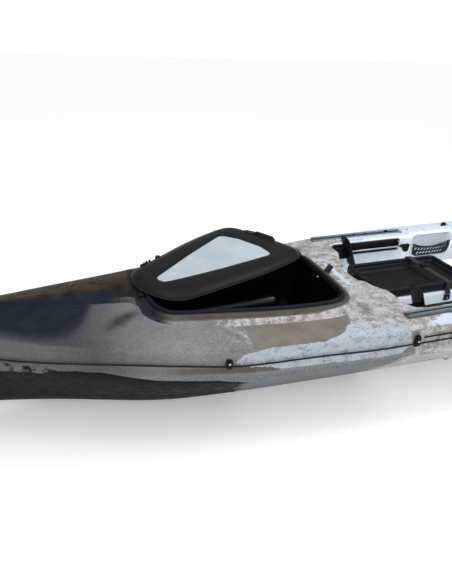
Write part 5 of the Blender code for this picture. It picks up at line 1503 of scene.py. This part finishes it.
# ---------------------------------------------------------------- seat
SEAT0, SEAT1, SEATW, SEATZ = 2.335, 2.760, .200, .258
fr = [(xs(s), y, SEATZ) for s, y in rrect(SEAT0 + TUBE_R, SEAT1 - TUBE_R, -SEATW + TUBE_R, SEATW - TUBE_R, .045, 12)]
bits = [tube("frame", fr, TUBE_R, ALU, cyclic=True, sides=24)]
for sg in (-1, 1):
    for s_ in (2.462, 2.742):
        bits.append(lathe("frame_cap", [(.0130, -.010), (.0138, -.008), (.0138, .008), (.0130, .010)], (xs(s_), sg * (SEATW - TUBE_R), SEATZ), BLACK, 24, axis=(1, 0, 0)))
        bits.append(lathe("frame_rivet", [(.0042, -.001), (.0040, .0008), (.0020, .0016)], (xs(s_), sg * (SEATW - TUBE_R), SEATZ + .0137), SCREW, 16))
for sg in (-1, 1):                                       # rubber sleeves on the front corners
    cn = [(xs(SEAT0 + TUBE_R + .045 * (1 - math.cos(a))), sg * (SEATW - TUBE_R - .045 * (1 - math.sin(a))), SEATZ)
          for a in [math.radians(-14 + 118 * k / 20) for k in range(21)]]
    bits.append(tube("frame_sleeve", cn, .0150, BLACK, sides=20))
put(join("seat_frame", bits), "seat", "aluminium", "seat_base_frame")


def sling(name, grid, thick, mat):
    """A sheet over a grid of points, with its own thickness."""
    bm = bmesh.new()
    vv = [[bm.verts.new(p) for p in r] for r in grid]
    for a, b_ in zip(vv, vv[1:]):
        for j in range(len(a) - 1):
            bm.faces.new((a[j], a[j + 1], b_[j + 1], b_[j]))
    ob = from_bm(name, bm, mat, 60)
    mo = ob.modifiers.new("thick", "SOLIDIFY")
    mo.thickness = thick
    mo.offset = 0
    return bake(ob)


grid = []
for i in range(49):
    u = i / 48
    row = []
    for j in range(45):
        v = j / 44
        a, b_ = 2 * u - 1, 2 * v - 1
        # stretched between the rails, hollowed by use, with small puckers at the lacing
        sag = (1 - a * a) * (1 - b_ * b_)
        z = .2588 - .0118 * sag ** .8 + .0006 * math.sin(b_ * 60) * (abs(a) > .93) + .0006 * math.sin(a * 64) * (abs(b_) > .93)
        r_ = 1 - .030 * (abs(a) ** 6) * (abs(b_) ** 6)
        row.append((xs(2.548 + .1835 * a * r_), .1710 * b_ * r_, z))
    grid.append(row)
seat_cloth = sling("seat_sling", grid, .0016, SLING)
put(seat_cloth, "seat", "sling_fabric", "seat_base_sling")
hem = []
for q0, q1 in (((2.3660, -.170), (2.3660, .170)), ((2.7300, -.170), (2.7300, .170)), ((2.3660, -.1700), (2.7300, -.1700)), ((2.3660, .1700), (2.7300, .1700))):
    P = [(xs(q0[0] + (q1[0] - q0[0]) * k / 30), q0[1] + (q1[1] - q0[1]) * k / 30, .2588) for k in range(31)]
    hem.append(tube("hem", P, .0017, WEB, sides=8))
for k in range(11):                                      # lacing from the cloth's edge round the tube
    for sg in (-1, 1):
        s_ = 2.385 + .0325 * k
        P = catmull([(xs(s_), sg * .168, .2600), (xs(s_ + .004), sg * .178, .2695), (xs(s_ + .008), sg * .1880, .2718), (xs(s_ + .011), sg * .1985, .2660),
                     (xs(s_ + .0135), sg * .2005, .2570), (xs(s_ + .016), sg * .1900, .2450), (xs(s_ + .018), sg * .1760, .2500), (xs(s_ + .020), sg * .1685, .2575)], 4)
        hem.append(tube("lace", P, .0011, ROPE, sides=7))
for k in range(9):
    for s_e, d in ((2.3665, -1), (2.7295, 1)):
        y_ = -.136 + .034 * k
        P = catmull([(xs(s_e - d * .002), y_, .2600), (xs(s_e + d * .009), y_ + .003, .2690), (xs(s_e + d * .0190), y_ + .006, .2716), (xs(s_e + d * .0295), y_ + .009, .2650),
                     (xs(s_e + d * .0300), y_ + .011, .2560), (xs(s_e + d * .018), y_ + .013, .2450), (xs(s_e + d * .006), y_ + .015, .2520), (xs(s_e - d * .001), y_ + .017, .2580)], 4)
        hem.append(tube("lace", P, .0011, ROPE, sides=7))
put(join("seat_lacing", hem), "seat", "webbing")

for tag, sg in (("port", -1), ("starboard", 1)):
    side = fillet([(2.4705, .1703), (2.5050, .1703), (2.5050, .1870), (2.5150, .2210), (2.5450, .2265), (2.6500, .2265), (2.6780, .2210), (2.6880, .1870),
                   (2.6880, .1703), (2.7375, .1703), (2.7375, .2440), (2.4705, .2440)], [.003, .003, .004, .012, .012, .012, .012, .004, .003, .003, .006, .006], 4, True)
    bits = [loft("skid", [[(xs(s), sg * y, z) for s, z in side] for y in (.1802, .1812, .1948, .1958)], BLACK, ang=35)]
    ch = fillet([(2.7125, .2010), (2.7450, .2010), (2.7880, .2350), (2.7875, .2900), (2.7740, .2978), (2.7560, .2978), (2.7300, .2600), (2.7125, .2425)],
                [.003, .008, .012, .008, .008, .008, .010, .003], 4, True)
    bits.append(loft("cheek", [[(xs(s), sg * y, z) for s, z in ch] for y in (.2008, .2016, .2128, .2136)], BLACK, ang=35))
    y0, y1 = sorted((sg * .1940, sg * .2030))
    bits.append(bevel(box("skid_web", (2.7130, y0, .2030), (2.7372, y1, .2430), BLACK), .0015, 2))
    y0, y1 = sorted((sg * .1795, sg * .1965))
    for s0 in (2.4705, 2.6900):
        bits.append(bevel(box("skid_foot", (s0 + .001, y0, .1702), (s0 + .0360, y1, .1760), GRIP), .0015, 2))
    bits.append(lathe("pivot_cap", [(.0105, -.001), (.0105, .0012), (.0085, .0024), (.0040, .0026)], (xs(SEAT_PIVOT[0]), sg * .2136, SEAT_PIVOT[1]), SCREW, 24, axis=(0, sg, 0)))
    put(join("seat_runner_" + tag, bits), "seat", "black_plastic", "seat_skid_" + tag)


def on_back(ob):
    ob = bake(ob)
    o = Vector((xs(SEAT_PIVOT[0]), 0, SEAT_PIVOT[1]))
    ob.data.transform(Matrix.Translation(o) @ Matrix.Rotation(BACK_LEAN, 4, "Y"))
    return ob


BW, BH = .2270, .430
pts = [(0, -BW, -.022), (0, -BW, .04), (.001, -BW, .10), (.004, -BW, .20), (.004, -BW, .30), (0, -BW, BH - .07), (-.002, -BW + .006, BH - .035),
       (-.003, -BW + .026, BH - .009), (-.003, -BW + .058, BH), (-.003, -BW + .12, BH), (-.003, 0, BH)]
pts = pts + [(x, -y, z) for x, y, z in pts[-2::-1]]
bits = [tube("back", even(catmull(pts, 6), 110), TUBE_R, ALU, sides=24)]
for sg in (-1, 1):
    bits.append(lathe("back_end", [(.0118, -.004), (.0130, -.002), (.0130, .016), (.0118, .018)], (0, sg * BW, -.0230), BLACK, 24))
    bits.append(lathe("back_rivet", [(.0040, -.001), (.0038, .0008), (.0018, .0014)], (-.0125, sg * BW, .150), SCREW, 16, axis=(-1, 0, 0)))
put(on_back(join("seat_back_tube", bits)), "seat_back", "aluminium", "seat_back_frame")
grid = []
ZB = [(.060, .004), (.115, .016), (.20, .020), (.29, .012), (.36, .006), (.408, .004)]
for i in range(45):
    z = .060 + (.408 - .060) * i / 44
    bulge = table(ZB, z)
    w = BW - TUBE_R - .0025 - (.020 * max(0, (z - .375) / .033) if z > .375 else 0)
    row = []
    for j in range(49):
        v = 2 * j / 48 - 1
        row.append((-.0015 + bulge * (1 - abs(v) ** 2.2) + .0006 * math.sin(z * 230) * (abs(v) > .95), w * v, z))
    grid.append(row)
cloth = sling("seat_back_cloth", grid, .0016, SLING)
back_cloth = on_back(cloth)
back_cloth.name = "seat_back_cloth"
put(back_cloth, "seat_back", "sling_fabric", "seat_back_sling")
bits = []
for z0, z1 in ((.178, .206), (.300, .328)):              # two webbing bands sewn across the back
    g = []
    for i in range(5):
        z = z0 + (z1 - z0) * i / 4
        bulge = table(ZB, z)
        g.append([(-.0032 + bulge * (1 - abs(2 * j / 40 - 1) ** 2.2), (BW - TUBE_R - .004) * (2 * j / 40 - 1), z) for j in range(41)])
    bits.append(sling("band", g, .0014, WEB))
for sg in (-1, 1):
    for k in range(10):
        z_ = .072 + .033 * k
        w = BW - TUBE_R - .004
        P = catmull([(-.0025, sg * (w - .001), z_), (-.0120, sg * (w + .010), z_ + .003), (-.0105, sg * (w + .022), z_ + .007), (.0010, sg * (w + .0295), z_ + .010),
                     (.0130, sg * (w + .020), z_ + .013), (.0120, sg * (w + .008), z_ + .016), (.0020, sg * (w - .001), z_ + .018)], 4)
        bits.append(tube("lace", P, .0011, ROPE, sides=7))
lace = on_back(join("back_lacing", bits))
lace.name = "seat_back_lacing"
put(lace, "seat_back", "webbing")

# ---------------------------------------------------------------- rod holders, bungee, drain plug
for tag, sg in (("port", -1), ("starboard", 1)):
    ax = (math.sin(ROD_TILT), 0, math.cos(ROD_TILT))
    o = Vector((xs(ROD_S), sg * ROD_Y, ROD_Z))
    prof_o = [(.0200, -.1900), (.0235, -.1898), (.0248, -.1870), (.0250, -.1840), (.0250, .0026), (.0322, .0031), (.0330, .0040), (.0330, .0058),
              (.0312, .0072), (.0262, .0078), (.0228, .0076), (.0217, .0064), (.0214, .0040), (.0213, -.1830), (.0200, -.1840)]
    q = Vector((0, 0, 1)).rotation_difference(Vector(ax))
    rings = []
    for r, z in prof_o:
        rings.append([o + q @ Vector((r * math.cos(a), r * math.sin(a), z)) for a in [2 * math.pi * k / 48 for k in range(48)]])
    bits = [loft("holder", rings, BLACK, ang=40)]
    for k in range(3):
        a = math.radians(90 + 120 * k)
        p = o + q @ Vector((.0285 * math.cos(a), .0285 * math.sin(a), .0070))
        bits.append(lathe("holder_screw", [(.0032, -.001), (.0030, .0006), (.0016, .0011)], p, SCREW, 16, axis=ax))
    # the gimbal bar at the foot
    bits.append(lathe("holder_bar", [(.0020, -.0212), (.0024, -.0200), (.0024, .0200), (.0020, .0212)], o + q @ Vector((0, 0, -.1700)), SCREW, 14, axis=(0, 1, 0)))
    put(join("rod_tube_" + tag, bits), "hull", "black_plastic", "rod_holder_" + tag)

hooks = [(3.140, -.285), (3.140, .285), (3.360, -.268), (3.590, .222), (3.825, -.160), (3.825, .160), (3.590, -.222),
         (3.360, .268)]
cord = []
for i, (s, y) in enumerate(hooks):
    here = Vector((s, y, 0))
    ends = []
    if i:
        ends.append((Vector((*hooks[i - 1], 0)) - here).normalized())
    if i < len(hooks) - 1:
        ends.append((Vector((*hooks[i + 1], 0)) - here).normalized())
    if len(ends) == 1:
        cord.append(here)
        continue
    a, b_ = ends
    away = -(a + b_).normalized()
    cord += [here + a * .016, here + a * .007 + away * .005, here + away * .008, here + b_ * .007 + away * .005, here + b_ * .016]
run = []
for i, (a, b_) in enumerate(zip(cord, cord[1:])):
    n = 8 if (b_ - a).length > .1 else 2
    for k in range(n):
        q = a.lerp(b_, k / n)
        over = 0.0
        if i >= 26 and (b_ - a).length > .1:
            over = .0085 * max(0, min(1, (.19 - abs(q.y)) / .04))
        run.append((xs(q.x), q.y, deck_z(q.x, max(abs(q.y), .10)) + .004 + over))
run.append((xs(cord[-1].x), cord[-1].y, deck_z(cord[-1].x, cord[-1].y) + .004))
bung = plastic("bungee_cord", (.012, .013, .016), .75, peel=.0010, peel_scale=700, tint=.8)
bits = [tube("cord", run, .0025, ROPE, sides=12)]
for i, (s, y) in enumerate(hooks):
    z = deck_z(s, abs(y)) + .0006
    pl = rrect(s - .011, s + .011, y - .009, y + .009, .007, 5)
    bits.append(loft("hook_plate", [[(xs(s + (a - s) * k), y + (b_ - y) * k, z + h) for a, b_ in pl] for k, h in ((1, -.003), (1, .0008), (.9, .0016))], BLACK, ang=40))
    out_ = Vector((0, 1 if y > 0 else -1, 0)) if 3.2 < s < 3.75 else Vector((1 if s > 3.5 else -1, 0, 0))
    bits.append(lathe("hook_post", [(.0052, 0), (.0042, .0015), (.0034, .0040), (.0034, .0064), (.0062, .0078), (.0064, .0092), (.0040, .0102)],
                      (xs(s), y, z), BLACK, 20))
put(join("bungee_lacing", bits), "hull", "rope", "tankwell_bungee")

rise = (deck_z(3.965, 0) - deck_z(3.925, 0)) / .040
ax = Vector((-math.sin(math.atan(rise)), 0, math.cos(math.atan(rise))))
pb_lo, pb_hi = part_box("drain_plug")
o = (Vector(pb_lo) + Vector(pb_hi)) / 2
bits = [lathe("plug", [(.0150, -.0053), (.0168, -.0046), (.0170, -.0030), (.0170, -.0012), (.0152, .0004), (.0112, .0010), (.0108, .0014), (.0040, .0014)], o, BLACK, 40, axis=ax)]
bar = bevel(box("plug_bar", (LENGTH / 2 - .0125, -.0028, .0008), (LENGTH / 2 + .0125, .0028, .0054), BLACK), .0014, 3)
bar = bake(bar)
qq = Vector((0, 0, 1)).rotation_difference(ax).to_matrix().to_4x4()
bar.data.transform(Matrix.Translation(o) @ qq)
bits.append(bar)
for k in range(18):
    a = 2 * math.pi * k / 18
    p = o + qq.to_3x3() @ Vector((.0166 * math.cos(a), .0166 * math.sin(a), -.0044))
    bits.append(lathe("plug_flute", [(.0006, 0), (.0009, .0005), (.0009, .0028), (.0005, .0032)], p, BLACK, 8, axis=ax))
put(join("stern_drain_plug", bits), "drain_plug", "black_plastic", "drain_plug")

# ---------------------------------------------------------------- floor and light
bm = bmesh.new()
bmesh.ops.create_grid(bm, x_segments=1, y_segments=1, size=40)
floor = from_bm("floor", bm, None, 0, recalc=False)
floor.location = (0, 0, -.0015)
fm, nt, b = node_material("floor_paint", (.90, .90, .90), .95)
b.inputs["Specular IOR Level"].default_value = .1
b.inputs["Emission Color"].default_value = (1, 1, 1, 1)
b.inputs["Emission Strength"].default_value = .20
floor.data.materials.append(fm)

world = bpy.data.worlds.new("studio")
bpy.context.scene.world = world
world.use_nodes = True
bg = world.node_tree.nodes["Background"]
bg.inputs["Color"].default_value = (.975, .985, 1, 1)
bpy.context.scene.view_settings.view_transform = "Standard"
wt = Tree(world.node_tree)                               # an even sky, dimmer low down on the far side
wd = wt.n("ShaderNodeTexCoord")
ws = wt.n("ShaderNodeSeparateXYZ")
wt.link(wd.outputs["Generated"], ws.inputs[0])
dim = wt.math("MULTIPLY", wt.step(ws.outputs["Z"], .09, .20), wt.step(ws.outputs["Z"], .58, .86, 1, 0))
dim = wt.math("MULTIPLY", dim, wt.step(ws.outputs["Y"], -.10, .40))
wt.link(wt.math("SUBTRACT", 1.06, wt.math("MULTIPLY", dim, .84)), bg.inputs["Strength"])


def area(name, loc, aim, size, power, color=(1, 1, 1), size_y=None):
    ld = bpy.data.lights.new(name, "AREA")
    ld.energy = power
    ld.color = color
    ld.size = size
    if size_y:
        ld.shape = "RECTANGLE"
        ld.size_y = size_y
    lo = bpy.data.objects.new(name, ld)
    bpy.context.scene.collection.objects.link(lo)
    lo.location = loc
    lo.rotation_euler = (Vector(aim) - Vector(loc)).to_track_quat("-Z", "Y").to_euler()
    return lo


area("key", (-2.4, .2, 3.9), (-.6, 0, .3), 1.1, 20, (1, .985, .96))
area("fill", (-2.2, -4.6, 2.2), (-.6, 0, .3), 2.4, 26, (.97, .985, 1))
area("aft", (.50, .05, 2.25), (.30, 0, .3), .80, 17, (.985, .99, 1))
